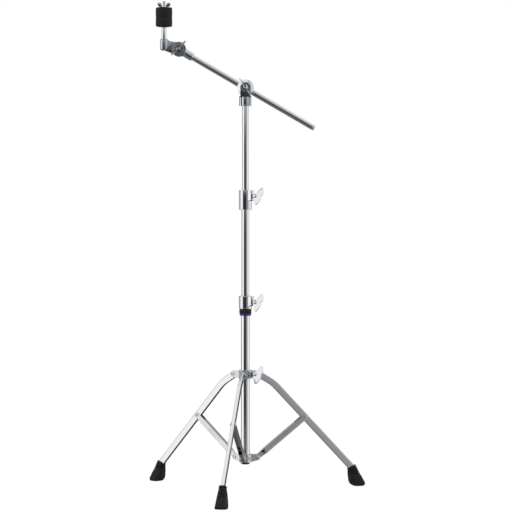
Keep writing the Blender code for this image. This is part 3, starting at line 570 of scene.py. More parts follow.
    @classmethod
    def softened(cls, mesh: Mesh, width: float, segments: int = 2, angle: float = 34.0) -> Mesh:
        """Mesh with its sharp edges rounded off.

        Args:
            mesh: Mesh to soften.
            width: How far from an edge the rounding starts.
            segments: Faces across a rounding.
            angle: Edges sharper than this, in degrees, are rounded.

        Returns:
            The softened mesh.
        """
        return cls._modified(mesh, "BEVEL", {"width": width, "segments": segments,
                                             "limit_method": "ANGLE", "miter_outer": "MITER_ARC",
                                             "angle_limit": math.radians(angle)})

    @staticmethod
    def toothed(mesh: Mesh, teeth: int, radius: float, band: tuple[float, float],
                depth: float) -> Mesh:
        """Press radial teeth into a band of a turned disc's rim.

        Args:
            mesh: Disc about Z, turned with 2 sides to each tooth.
            teeth: Number of teeth.
            radius: Only points further out than this are pressed.
            band: Lowest and highest point of the band.
            depth: Depth of the gaps.

        Returns:
            The same mesh, toothed.
        """
        for vertex in mesh.vertices:
            out = math.hypot(vertex.co.x, vertex.co.y)
            turn = math.atan2(vertex.co.y, vertex.co.x) / math.pi * teeth
            if out > radius and band[0] < vertex.co.z < band[1] and round(turn) % 2:
                shrink = (out - depth) / out
                vertex.co.x *= shrink
                vertex.co.y *= shrink
        return mesh


LAY_FORWARD = Matrix.Rotation(math.radians(90.0), 4, "X")      # +Z goes to -Y
LAY_RIGHT = Matrix.Rotation(math.radians(90.0), 4, "Y")        # +Z goes to +X
FACE_FRONT = Matrix.Rotation(math.radians(-90.0), 4, "Z")      # +X goes to -Y


def shift(x: float = 0.0, y: float = 0.0, z: float = 0.0) -> Matrix:
    """A plain move."""
    return Matrix.Translation((x, y, z))


# ------------------------------------------------------------------------- the frame's measures
class Measures:
    """Reads places and sizes from the frame, from the column's axis on the floor."""

    def __init__(self) -> None:
        """Find the column's axis and the stand's joints."""
        low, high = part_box("base_tube")
        self.column = Vector(((low.x + high.x) / 2, (low.y + high.y) / 2, 0.0))
        self.origin = Matrix.Translation(self.column)
        self.joints = {joint["name"]: joint for joint in frame["joints"]}
        groups = frame["record"]["behaviour"]["bodies"]
        self.bodies = {node: body for body, nodes in groups.items() for node in nodes}

    def heights(self, node: str) -> tuple[float, float]:
        """Lowest and highest point of a node."""
        low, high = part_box(node)
        return low.z, high.z

    def radius(self, node: str) -> float:
        """Outer radius of a node that is round about an upright axis."""
        low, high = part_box(node)
        return (high.x - low.x) / 2

    def middle(self, node: str) -> Vector:
        """Middle of a node's box, from the column's foot."""
        low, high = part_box(node)
        return (low + high) / 2 - self.column

    def pivot(self, joint: str) -> Vector:
        """A joint's place, from the column's foot."""
        return Vector(self.joints[joint]["pos_m"]) - self.column

    def axis(self, joint: str) -> Vector:
        """A joint's direction."""
        return Vector(self.joints[joint]["axis"])


@dataclass
class Assembly:
    """A group of pieces and the measures they are made to."""

    measures: Measures

    def fit(self, node: str, mesh: Mesh, finish: Shop, place: Matrix | None = None,
            sharp: float = 32.0) -> bpy.types.Object:
        """Hang a finished mesh on the frame in place of one of its nodes.

        Args:
            node: Node of the frame that the piece stands for.
            mesh: Mesh in the piece's own frame.
            finish: Finish that dresses it.
            place: The piece's own frame, from the column's foot.
            sharp: Edges sharper than this, in degrees, stay crisp.

        Returns:
            The piece.
        """
        mesh.name = node + ".fine"
        mesh.shade_smooth()
        mesh.set_sharp_from_angle(angle=math.radians(sharp))
        mesh.materials.clear()
        mesh.materials.append(finish.value.material())
        piece = bpy.data.objects.new(node + ".fine", mesh)
        bpy.context.scene.collection.objects.link(piece)
        piece.matrix_world = self.measures.origin @ (place or Matrix.Identity(4))
        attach(piece, self.measures.bodies[node])
        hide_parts(node)
        LOG.info("%s: %d faces, %s", piece.name, len(mesh.polygons), finish.value.name)
        return piece


# ------------------------------------------------------------------------- wing bolts
@dataclass
class Wings:
    """A wing bolt or wing nut along +X, its hub's foot at the origin."""

    hub_r: float = 0.0062
    hub_length: float = 0.0105
    root: float = 0.0038            # blade thickness at the hub
    tip: float = 0.0021             # blade thickness at the tips
    rise: tuple = ((0.0015, 0.0050), (0.0060, 0.0120), (0.0120, 0.0215), (0.0165, 0.0273),
                   (0.0200, 0.0283), (0.0235, 0.0240), (0.0275, 0.0150), (0.0283, 0.0080),
                   (0.0265, 0.0025))

    def blade(self) -> Mesh:
        """The two wings in one, thinner towards the tips and round all along the edge."""
        lower = [(x, -span) for x, span in reversed(self.rise)]
        outline = Form.flowing([*self.rise, *lower])
        reach = max(span for _, span in self.rise)
        half = self.root / 2
        form = bmesh.new()
        rings = []
        for share in (-1.0, -0.94, -0.78, -0.5, 0.5, 0.78, 0.94, 1.0):
            inset = 0.0009 * (1.0 - math.sqrt(max(0.0, 1.0 - share * share)))
            ring = []
            for index, (x, span) in enumerate(outline):
                before = Vector(outline[index - 1])
                after = Vector(outline[(index + 1) % len(outline)])
                along = (after - before).normalized()
                thick = half + (self.tip / 2 - half) * min(1.0, abs(span) / reach)
                point = Vector((x, span)) + Vector((along.y, -along.x)) * -inset
                ring.append(form.verts.new((point.x, thick * share, point.y)))
            rings.append(ring)
        Form.skin(form, rings, len(outline), False)
        form.faces.new(list(reversed(rings[0])))
        form.faces.new(rings[-1])
        return Form.closed(form)

    def hub(self) -> Mesh:
        """Hub with a foot flange, a waist and a domed end."""
        r = self.hub_r
        length = self.hub_length
        outline = [(0.0, 0.0), (r, 0.0, 0.0004), (r, 0.0016, 0.0005), (r * 0.93, 0.0022, 0.0006),
                   (r * 0.90, length * 0.72, 0.0015), (r * 0.62, length, 0.0018), (0.0, length)]
        return Form.moved(Form.turned(outline, 48), LAY_RIGHT)

    def made(self, shank_r: float, shank_length: float, bore: float = 0.0) -> Mesh:
        """Wings and hub in one, with a shank inwards or a bore right through.

        Args:
            shank_r: Radius of the shank.
            shank_length: How far the shank reaches inwards; 0 for none.
            bore: Radius of the bore; 0 for none.

        Returns:
            The mesh.
        """
        body = Form.joined(self.hub(), self.blade())
        if bore:
            return Form.cut(body, Form.pin(bore, Vector((-0.002, 0, 0)), Vector((0.03, 0, 0))))
        return Form.joined(body, Form.moved(self.thread(shank_r, 0.002, -shank_length), LAY_RIGHT))

    @staticmethod
    def thread(radius: float, start: float, end: float, pitch: float = 0.0010) -> Mesh:
        """Threaded rod along Z between two heights, crests at radius."""
        low, high = sorted((start, end))
        count = int((high - low) / pitch)
        outline = [(0.0, low), (radius - pitch * 0.5, low)]
        for index in range(count):
            foot = low + (high - low) * index / count
            step = (high - low) / count
            outline.append((radius - pitch * 0.5, foot + step * 0.10))
            outline.append((radius, foot + step * 0.45))
            outline.append((radius, foot + step * 0.58))
        outline += [(radius - pitch * 0.5, high), (0.0, high)]
        return Form.turned(outline, 28)


# ------------------------------------------------------------------------- column
@dataclass
class ClampSize:
    """What tells one height clamp from the other."""

    name: str
    outer_tube: str
    inner_tube: str
    lug_low: float
    chamfer: float
    lip: bool                       # the lower clamp has a lip above its skirt


@dataclass
class Column(Assembly):
    """The three tubes, the two height clamps, the rings under the lower one and their bolts."""

    air: float = 0.0003
    wall: float = 0.0012
    bolt_r: float = 0.0032
    lug_end: float = 0.0280
    lug_half: float = 0.0080
    skirt_flutes: int = 40
    wing_roll: float = math.radians(-33.0)
    clamps: tuple[ClampSize, ...] = (
        ClampSize("lower_clamp", "base_tube", "middle_tube", 0.5310, 0.0060, True),
        ClampSize("upper_clamp", "middle_tube", "upper_tube", 0.8320, 0.0050, False))

    def bolt_turn(self, joint: str = "lower_clamp_bolt_turn") -> Matrix:
        """Turn about Z from +X to the side that carries the wing bolts."""
        axis = self.measures.axis(joint)
        return Matrix.Rotation(math.atan2(axis.y, axis.x), 4, "Z")

    def build(self) -> None:
        """Make every piece of the column."""
        for node in ("base_tube", "middle_tube", "upper_tube"):
            self.tube(node)
        self.plug()
        self.rings()
        for size in self.clamps:
            self.clamp(size)

    def tube(self, node: str) -> None:
        """A drawn tube with rolled ends."""
        radius = self.measures.radius(node)
        low, high = self.measures.heights(node)
        inner = radius - self.wall
        outline = [(inner, low, 0.0003), (radius, low, 0.0007), (radius, high, 0.0007),
                   (inner, high, 0.0003)]
        self.fit(node, Form.turned(outline, 128), Shop.TUBE)

    def plug(self) -> None:
        """Plastic plug in the base tube's foot, with a gate mark in a shallow dish."""
        low, high = self.measures.heights("base_tube_plug")
        radius = self.measures.radius("base_tube")
        inner = radius - self.wall - self.air
        rim = self.measures.heights("base_tube")[0] - self.air
        outline = [(0.0, low + 0.0003), (0.0010, low + 0.0003), (0.0014, low + 0.0009),
                   (0.0080, low + 0.0007, 0.0008), (0.0092, low, 0.0008),
                   (radius, low + 0.0018, 0.0016), (radius, rim, 0.0004), (inner, rim),
                   (inner, high, 0.0010), (0.0, high)]
        self.fit("base_tube_plug", Form.turned(outline, 96), Shop.BLACK)

    def rings(self) -> None:
        """The violet-blue ring and the fluted black skirt under the lower clamp."""
        bore = self.measures.radius("base_tube") + self.air
        low, high = self.measures.heights("accent_ring")
        radius = self.measures.radius("accent_ring")
        outline = [(bore, low, 0.0003), (radius - 0.0006, low, 0.0005), (radius, low + 0.0010, 0.0006),
                   (radius, high - 0.0004, 0.0004), (bore, high)]
        self.fit("accent_ring", Form.turned(outline, 96), Shop.ACCENT)
        low, high = self.measures.heights("lower_clamp_skirt")
        radius = self.measures.radius("lower_clamp_skirt")
        outline = [(bore, low), (radius - 0.0009, low, 0.0004), (radius - 0.0004, low + 0.0012),
                   (radius - 0.0004, low + 0.0019), (radius, low + 0.0024),
                   (radius, high - 0.0026), (radius - 0.0004, high - 0.0021),
                   (radius - 0.0004, high - 0.0006, 0.0004), (bore, high)]
        skirt = Form.turned(outline, self.skirt_flutes * 4)
        for vertex in skirt.vertices:
            out = math.hypot(vertex.co.x, vertex.co.y)
            if out > radius - 0.0002:
                wave = math.cos(math.atan2(vertex.co.y, vertex.co.x) * self.skirt_flutes)
                shrink = 1.0 - 0.0006 * (0.5 - 0.5 * wave) / out
                vertex.co.x *= shrink
                vertex.co.y *= shrink
        self.fit("lower_clamp_skirt", skirt, Shop.BLACK)

    def lug(self, start: float, low: float, high: float, chamfer: float, half: float) -> Mesh:
        """Block that carries a wing bolt, its lower outer edge cut off and all edges eased."""
        end = self.lug_end
        outline = [(start, low - chamfer * 0.45), (end, low + chamfer * 0.55, 0.0022),
                   (end, high, 0.0022), (start, high)]
        block = Form.softened(Form.slab(outline, -half, half), 0.0011, 3, 40.0)
        return Form.moved(block, self.bolt_turn())

    def bolt_bore(self, height: float, start: float) -> Mesh:
        """Cutter for a wing bolt's hole with a shallow seat for its washer."""
        bore_r = self.bolt_r + self.air
        outline = [(0.0, start), (bore_r, start), (bore_r, self.lug_end - 0.0006),
                   (0.0050, self.lug_end - 0.0001), (0.0050, 0.05), (0.0, 0.05)]
        return Form.moved(Form.turned(outline, 40), LAY_RIGHT, shift(z=height), self.bolt_turn())

    def clamp(self, size: ClampSize) -> None:
        """Casting, bush, washer and wing bolt of one height clamp."""
        low, high = self.measures.heights(size.name)
        radius = self.clamp_radius(size)
        bore = self.measures.radius(size.outer_tube) + self.air
        bolt_z = self.measures.pivot(size.name + "_bolt_turn").z
        outline = [(bore, low, 0.0004), (radius, low, 0.0009)]
        if size.lip:
            outline += [(radius, low + 0.0022, 0.0002), (radius - 0.0006, low + 0.0025),
                        (radius - 0.0006, low + 0.0029), (radius, low + 0.0032, 0.0002)]
        outline += [(radius, high, 0.0013), (bore + 0.0010, high, 0.0005), (bore, high - 0.0008)]
        block = self.lug(bore + 0.0022, size.lug_low, high - 0.0006, size.chamfer, self.lug_half)
        body = Form.joined(Form.turned(outline, 96), block)
        self.fit(size.name, Form.cut(body, self.bolt_bore(bolt_z, 0.010)), Shop.CASTING)
        self.bush(size, bore)
        self.wing_bolt(size.name, bolt_z, bore + 0.0002)

    def clamp_radius(self, size: ClampSize) -> float:
        """Radius of a clamp's round part, from the side away from its lug."""
        low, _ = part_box(size.name)
        return self.measures.column.x - low.x

    def bush(self, size: ClampSize, bore: float) -> None:
        """Split nylon bush between the two tubes, its lip just above the clamp."""
        inner = self.measures.radius(size.inner_tube) + self.air
        low, high = self.measures.heights(size.name + "_bush")
        outline = [(inner, low), (bore - self.air, low, 0.0002), (bore - self.air, high, 0.0004),
                   (inner, high, 0.0004)]
        slit = Form.slab([(0.0, low - 0.001), (0.02, low - 0.001), (0.02, high + 0.001),
                          (0.0, high + 0.001)], -0.0006, 0.0006)
        slit = Form.moved(slit, Matrix.Rotation(math.radians(-125.0), 4, "Z"))
        self.fit(size.name + "_bush", Form.cut(Form.turned(outline, 96), slit), Shop.NYLON)

    def wing_bolt(self, stem: str, height: float, tip: float) -> None:
        """Wing bolt and washer on a lug.

        Args:
            stem: Start of the two nodes' names.
            height: Height of the bolt's axis.
            tip: How near the column's axis the bolt's end comes.
        """
        place = shift(z=height) @ self.bolt_turn()
        start = self.lug_end + self.air
        end = start + 0.0026
        ring = Form.moved(Form.ring(self.bolt_r + self.air, 0.0066, start, end, 0.0004), LAY_RIGHT)
        self.fit(stem + "_washer", ring, Shop.BLACK, place)
        hub = end + self.air
        bolt = Wings().made(self.bolt_r, hub - tip)
        bolt = Form.moved(bolt, Matrix.Rotation(self.wing_roll, 4, "X"), shift(x=hub))
        self.fit(stem + "_wing_bolt", bolt, Shop.CASTING, place)


# ------------------------------------------------------------------------- tripod
@dataclass
class Tripod(Column):
    """Collars, three channel legs and braces, their rivets and the ribbed rubber boots."""

    sides: tuple[str, ...] = ("front", "left", "right")
    ear: float = 0.0020
    sheet: float = 0.0015
    rivet_r: float = 0.0023
    leg_width: float = 0.0095
    leg_depth: float = 0.0190
    fold: float = 0.0021            # outside radius of the channels' folds
    brace_depth: float = 0.0160
    tongue: float = 0.0060
    bend: tuple[float, float] = (0.0860, 0.3084)
    bend_radius: float = 0.1200
    slope: float = math.radians(46.0)
    leg_end: float = 0.0490
    foot_r: float = 0.3470

    def build(self) -> None:
        """Make every piece of the tripod."""
        self.read_pivots()
        self.lower_collar()
        self.upper_collar()
        for side in self.sides:
            place = self.plane(side)
            self.fit("leg_" + side, self.leg(), Shop.LEG, place)
            self.fit("brace_" + side, self.brace(), Shop.BRACE, place)
            self.fit("foot_" + side, self.boot(), Shop.RUBBER, place, 60.0)
            self.rivets(side, place)

    def plane(self, side: str) -> Matrix:
        """Frame of one leg's plane: X outwards, Y across, Z up."""
        pivot = self.measures.pivot("fold_" + side)
        return Matrix.Rotation(math.atan2(pivot.y, pivot.x), 4, "Z")

    def read_pivots(self) -> None:
        """Take the linkage's three pivots, as (distance, height), from the front leg's joints."""
        low = self.measures.pivot("fold_front")
        knee = self.measures.pivot("leg_turn_front")
        top = self.measures.middle("leg_top_stud_front_a") \
            + self.measures.middle("leg_top_stud_front_b")
        self.low_pivot = (math.hypot(low.x, low.y), low.z)
        self.knee_pivot = (math.hypot(knee.x, knee.y), knee.z)
        self.top_pivot = (math.hypot(top.x, top.y) / 2, top.z / 2)

    def across(self, pivot: Corner, radius: float, reach: float = 0.02) -> Mesh:
        """Cutter for a rivet's hole in a leg's plane."""
        return Form.pin(radius, Vector((pivot[0], -reach, pivot[1])),
                        Vector((pivot[0], reach, pivot[1])), 28)

    # ---- collars
    def eared(self, ring: Mesh, start: float, pivot: Corner, span: Corner, half_gap: float,
              radius: float) -> Mesh:
        """Ring with three pairs of ears, drilled for their rivets.

        Args:
            ring: The collar's ring.
            start: Where the ears start, from the axis.
            pivot: Their hole's (distance, height).
            span: Lowest and highest point of the ears.
            half_gap: Half the gap between the ears of a pair.
            radius: Radius of their round ends.

        Returns:
            The collar.
        """
        outline = ([(start, span[0]), (pivot[0], pivot[1] - radius)]
                   + Form.arc(pivot, radius, -80.0, 80.0, 18)
                   + [(pivot[0], pivot[1] + radius), (start, span[1])])
        ears = []
        holes = []
        for side in self.sides:
            aim = self.plane(side)
            for hand in (-1, 1):
                near, far = sorted((hand * half_gap, hand * (half_gap + self.ear)))
                plate = Form.softened(Form.slab(outline, near, far), 0.0004, 2, 50.0)
                ears.append(Form.moved(plate, aim))
            holes.append(Form.moved(self.across(pivot, self.rivet_r + self.air), aim))
        return Form.cut(Form.joined(ring, *ears), *holes)

    def lower_collar(self) -> None:
        """Fixed pressed collar at the base tube's foot, and the screw that pins it."""
        low, high = 0.0820, 0.1065
        bore = self.measures.radius("base_tube") + self.air
        radius = 0.0170
        ring = Form.turned([(bore, low, 0.0004), (radius, low, 0.0010), (radius, high, 0.0010),
                            (bore, high, 0.0004)], 96)
        collar = self.eared(ring, bore + 0.0015, self.low_pivot, (low + 0.001, high - 0.001),
                            self.tongue / 2 + self.air, 0.0085)
        height = (low + high) / 2
        hole = Form.moved(Form.pin(0.0023, Vector((0.005, 0, height)), Vector((0.03, 0, height))),
                          self.bolt_turn())
        self.fit("lower_collar", Form.cut(collar, hole), Shop.PRESSING)
        head = radius + self.air
        outline = [(0.0, bore), (0.0020, bore), (0.0020, head), (0.0036, head, 0.0003),
                   (0.0036, head + 0.0012, 0.0010), (0.0022, head + 0.0021, 0.0006),
                   (0.0, head + 0.0022)]
        screw = Form.moved(Form.turned(outline, 40), LAY_RIGHT)
        slots = []
        for turn in (30.0, 120.0):
            slot = Form.slab([(head + 0.0008, -0.0022), (head + 0.004, -0.0022),
                              (head + 0.004, 0.0022), (head + 0.0008, 0.0022)], -0.0004, 0.0004)
            slots.append(Form.moved(slot, Matrix.Rotation(math.radians(turn), 4, "X")))
        place = shift(z=height) @ self.bolt_turn()
        self.fit("lower_collar_screw", Form.cut(screw, *slots), Shop.CASTING, place)

    def upper_collar(self) -> None:
        """Sliding collar with its lug, its nylon bush and its wing bolt."""
        low, high = 0.3225, 0.3475
        tube = self.measures.radius("base_tube")
        bush_r = tube + 0.0015
        bush = Form.turned([(tube + self.air, low + 0.0002, 0.0003), (bush_r, low + 0.0002, 0.0003),
                            (bush_r, high - 0.0002, 0.0003),
                            (tube + self.air, high - 0.0002, 0.0003)], 96)
        self.fit("upper_collar_bush", bush, Shop.NYLON)
        bore = bush_r + self.air
        ring = Form.turned([(bore, low, 0.0004), (0.0185, low, 0.0010), (0.0185, high, 0.0010),
                            (bore, high, 0.0004)], 96)
        collar = self.eared(ring, bore + 0.0015, self.top_pivot, (low + 0.001, high - 0.001),
                            self.leg_width / 2 + self.air, 0.0090)
        block = self.lug(bore + 0.0015, low + 0.0030, high - 0.0030, 0.0, 0.0072)
        bolt_z = self.measures.pivot("collar_bolt_turn").z
        collar = Form.cut(Form.joined(collar, block), self.bolt_bore(bolt_z, 0.010))
        self.fit("upper_collar", collar, Shop.PRESSING)
        self.wing_bolt("upper_collar", bolt_z, bore + 0.0002)

    # ---- legs and braces
    def leg_line(self) -> list[Vector]:
        """Centre line of a leg from above its top pivot to its lower end."""
        top = Vector(self.top_pivot)
        bend = Vector(self.bend)
        down = Vector((math.cos(self.slope), -math.sin(self.slope)))
        inward = (top - bend).normalized()
        turn = math.pi - inward.angle(down)
        first = bend + inward * (self.bend_radius * math.tan(turn / 2))
        heading = math.atan2(-inward.y, -inward.x)
        centre = first + Vector((math.sin(heading), -math.cos(heading))) * self.bend_radius
        line = [top + inward * 0.02, top]
        for step in range(17):
            angle = heading + math.pi / 2 - turn * step / 16
            line.append(centre + Vector((math.cos(angle), math.sin(angle))) * self.bend_radius)
        for step in range(1, 7):
            reach = (bend.y - self.leg_end) / math.sin(self.slope) * step / 6
            if reach > self.bend_radius * math.tan(turn / 2):
                line.append(bend + down * reach)
        return line

    def channel(self, line: list[Vector], depth: float, half_width: float) -> Mesh:
        """Sweep a folded channel along a line, its web on the upper side."""
        half = depth / 2
        inside = half_width - self.sheet
        lip = 0.0005
        fold = self.fold * 1.4
        section = Form.rounded([
            (-half, half_width, lip), (half, half_width, fold), (half, -half_width, fold),
            (-half, -half_width, lip), (-half, -inside, lip),
            (half - self.sheet, -inside, fold * 0.4), (half - self.sheet, inside, fold * 0.4),
            (-half, inside, lip)], 5)
        rings = []
        for index, point in enumerate(line):
            before = line[max(index - 1, 0)]
            after = line[min(index + 1, len(line) - 1)]
            along = (after - before).normalized()
            up = Vector((-along.y, along.x))
            rings.append([Vector((point.x + up.x * rise, y, point.y + up.y * rise))
                          for rise, y in section])
        return Form.lofted(rings)

    def leg(self) -> Mesh:
        """Channel leg, rounded at its top pivot and drilled for its rivets."""
        line = self.leg_line()
        bar = self.channel(line, self.leg_depth, self.leg_width / 2)
        top = line[1]
        along = (line[2] - line[1]).normalized()
        heading = math.degrees(math.atan2(along.y, along.x))
        half = self.leg_depth / 2
        sideways = Vector((-along.y, along.x)) * 0.03
        blank = (Form.arc(top, half, heading + 90.0, heading + 270.0, 28)
                 + [tuple(top - sideways.normalized() * half), tuple(top - sideways),
                    tuple(top - sideways - along * 0.04), tuple(top + sideways - along * 0.04),
                    tuple(top + sideways), tuple(top + sideways.normalized() * half)])
        bar = Form.cut(bar, Form.slab(blank, -0.02, 0.02, 1))
        holes = [self.across(pivot, self.rivet_r + self.air)
                 for pivot in (self.top_pivot, self.knee_pivot)]
        return Form.cut(bar, *holes)

    def brace(self) -> Mesh:
        """Channel brace with a flattened tongue at its lower end."""
        low = Vector(self.low_pivot)
        along = Vector(self.knee_pivot) - low
        length = along.length
        half = self.brace_depth / 2
        inside = self.leg_width / 2 + self.air
        outside = inside + self.sheet
        tongue = self.tongue / 2
        side_view = (Form.arc((0.0, 0.0), 0.0072, 250.0, 110.0, 18) + [(0.022, half, 0.012)]
                     + [(length, half)] + Form.arc((length, 0.0), half, 84.0, -84.0, 22)
                     + [(length, -half), (0.022, -half, 0.012)])
        top_view = [(-0.02, -tongue), (0.0185, -tongue, 0.005), (0.0295, -outside, 0.005),
                    (length + 0.02, -outside), (length + 0.02, outside),
                    (0.0295, outside, 0.005), (0.0185, tongue, 0.005), (-0.02, tongue)]
        plan = Form.moved(Form.slab(top_view, -0.02, 0.02, 8), LAY_FORWARD)
        bar = Form.common(Form.slab(side_view, -outside - 0.001, outside + 0.001, 6), plan)
        bar = Form.softened(bar, 0.0009, 3, 40.0)
        web_end = length - 0.034
        hollow = [(0.034, -0.02), (0.038, half - self.sheet, 0.002),
                  (web_end, half - self.sheet, 0.002), (web_end + 0.004, 0.02),
                  (length + 0.02, 0.02), (length + 0.02, -0.02)]
        holes = [self.across((x, 0.0), self.rivet_r + self.air, 0.01) for x in (0.0, length)]
        bar = Form.cut(bar, Form.slab(hollow, -inside, inside), *holes)
        lean = Matrix.Rotation(-math.atan2(along.y, along.x), 4, "Y")
        return Form.moved(bar, lean, shift(low.x, 0.0, low.y))

    # ---- rivets
    def head(self, outer: float) -> list[Corner]:
        """Outline of a rivet's dished head, whose underside is outside a plate at outer."""
        foot = outer + self.air
        return [(self.rivet_r, foot), (0.0042, foot, 0.0003), (0.0042, foot + 0.0008, 0.0006),
                (0.0031, foot + 0.0018, 0.0009), (0.0017, foot + 0.0020, 0.0004),
                (0.0011, foot + 0.0014, 0.0004), (0.0, foot + 0.0013)]

    def rivets(self, side: str, place: Matrix) -> None:
        """The two through rivets and the two top studs of one leg."""
        wall = self.leg_width / 2 + self.air + self.sheet
        for node, outer, pivot in (
                ("leg_brace_rivet_", wall, self.knee_pivot),
                ("brace_base_rivet_", self.tongue / 2 + self.air + self.ear, self.low_pivot)):
            head = self.head(outer)
            mirrored = [(corner[0], -corner[1], *corner[2:]) for corner in reversed(head)]
            pin = Form.moved(Form.turned(mirrored + head, 36), LAY_FORWARD)
            self.fit(node + side, pin, Shop.RIVET, place @ shift(pivot[0], 0.0, pivot[1]))
        inner = self.leg_width / 2 + self.air
        for letter, turn in (("a", LAY_FORWARD), ("b", LAY_FORWARD.inverted())):
            outline = [(0.0, inner), (self.rivet_r, inner)] + self.head(inner + self.ear)
            stud = Form.moved(Form.turned(outline, 36), turn)
            self.fit(f"leg_top_stud_{side}_{letter}", stud, Shop.RIVET,
                     place @ shift(self.top_pivot[0], 0.0, self.top_pivot[1]))

    # ---- boots
    def boot(self) -> Mesh:
        """Rubber boot: broad sole with a toe, five fanned ribs and a pocket for the leg."""
        levels = self.boot_levels()
        sides = 72
        rings = []
        for inner, outer, width, power in levels:
            ring = []
            for step in range(sides):
                angle = 2 * math.pi * step / sides
                reach = math.copysign(abs(math.cos(angle)) ** power, math.cos(angle))
                swing = math.copysign(abs(math.sin(angle)) ** power, math.sin(angle))
                point = inner.lerp(outer, (reach + 1) / 2)
                ring.append(Vector((self.foot_r + point.x, width * swing, point.y)))
            rings.append(ring)
        boot = Form.lofted(rings)
        end = self.leg_line()[-1]
        back = Vector((-math.cos(self.slope), math.sin(self.slope)))
        up = Vector((math.sin(self.slope), math.cos(self.slope)))
        half = self.leg_depth / 2 + self.air * 1.5
        corners = [end - up * half, end + up * half, end + up * half + back * 0.06,
                   end - up * half + back * 0.06]
        width = self.leg_width / 2 + self.air * 1.5
        pocket = Form.slab([(*corner, 0.0009) for corner in corners], -width, width)
        return Form.cut(boot, pocket)

    def boot_levels(self) -> list[tuple[Vector, Vector, float, float]]:
        """Slices of a boot from the sole up, as inner edge, outer edge, half width, squareness."""
        sole = [((-0.0100, 0.0000), (0.0175, 0.0000), 0.0155),
                ((-0.0110, 0.0002), (0.0190, 0.0003), 0.0165),
                ((-0.0130, 0.0010), (0.0212, 0.0014), 0.0173),
                ((-0.0158, 0.0025), (0.0230, 0.0032), 0.0176),
                ((-0.0190, 0.0052), (0.0238, 0.0055), 0.0175),
                ((-0.0222, 0.0090), (0.0235, 0.0082), 0.0171),
                ((-0.0245, 0.0140), (0.0222, 0.0120), 0.0163)]
        levels = [(Vector(inner), Vector(outer), width, 0.66) for inner, outer, width in sole]
        foot = (Vector((-0.0258, 0.0200)), Vector((0.0200, 0.0160)))
        waist = (Vector((-0.0283, 0.0385)), Vector((0.0105, 0.0325)))
        top = (Vector((-0.0290, 0.0520)), Vector((-0.0050, 0.0620)))
        for step in range(7):
            share = step / 6
            levels.append((foot[0].lerp(waist[0], share), foot[1].lerp(waist[1], share),
                           0.0158 - 0.0026 * share, 0.68))
        ribs = 5
        grain = 10
        narrow = 0.0105             # half width at the boot's top
        for step in range(1, ribs * grain):
            share = step / (ribs * grain)
            groove = 0.0030 * max(0.0, math.cos(2 * math.pi * (share * ribs - 0.12))) ** 2
            inner = waist[0].lerp(top[0], share)
            outer = waist[1].lerp(top[1], share)
            inward = (outer - inner).normalized() * groove
            width = 0.0132 + (narrow - 0.0132) * share
            levels.append((inner + inward * 0.8, outer - inward, width - groove, 0.74))
        for rise, draw in ((0.0, 0.0004), (0.0006, 0.0011), (0.0010, 0.0022), (0.0012, 0.0040)):
            inward = (top[1] - top[0]).normalized()
            up = Vector((-inward.y, inward.x)) * rise
            levels.append((top[0] + inward * draw + up, top[1] - inward * draw + up,
                           narrow - draw * 0.25, 0.78))
        return levels


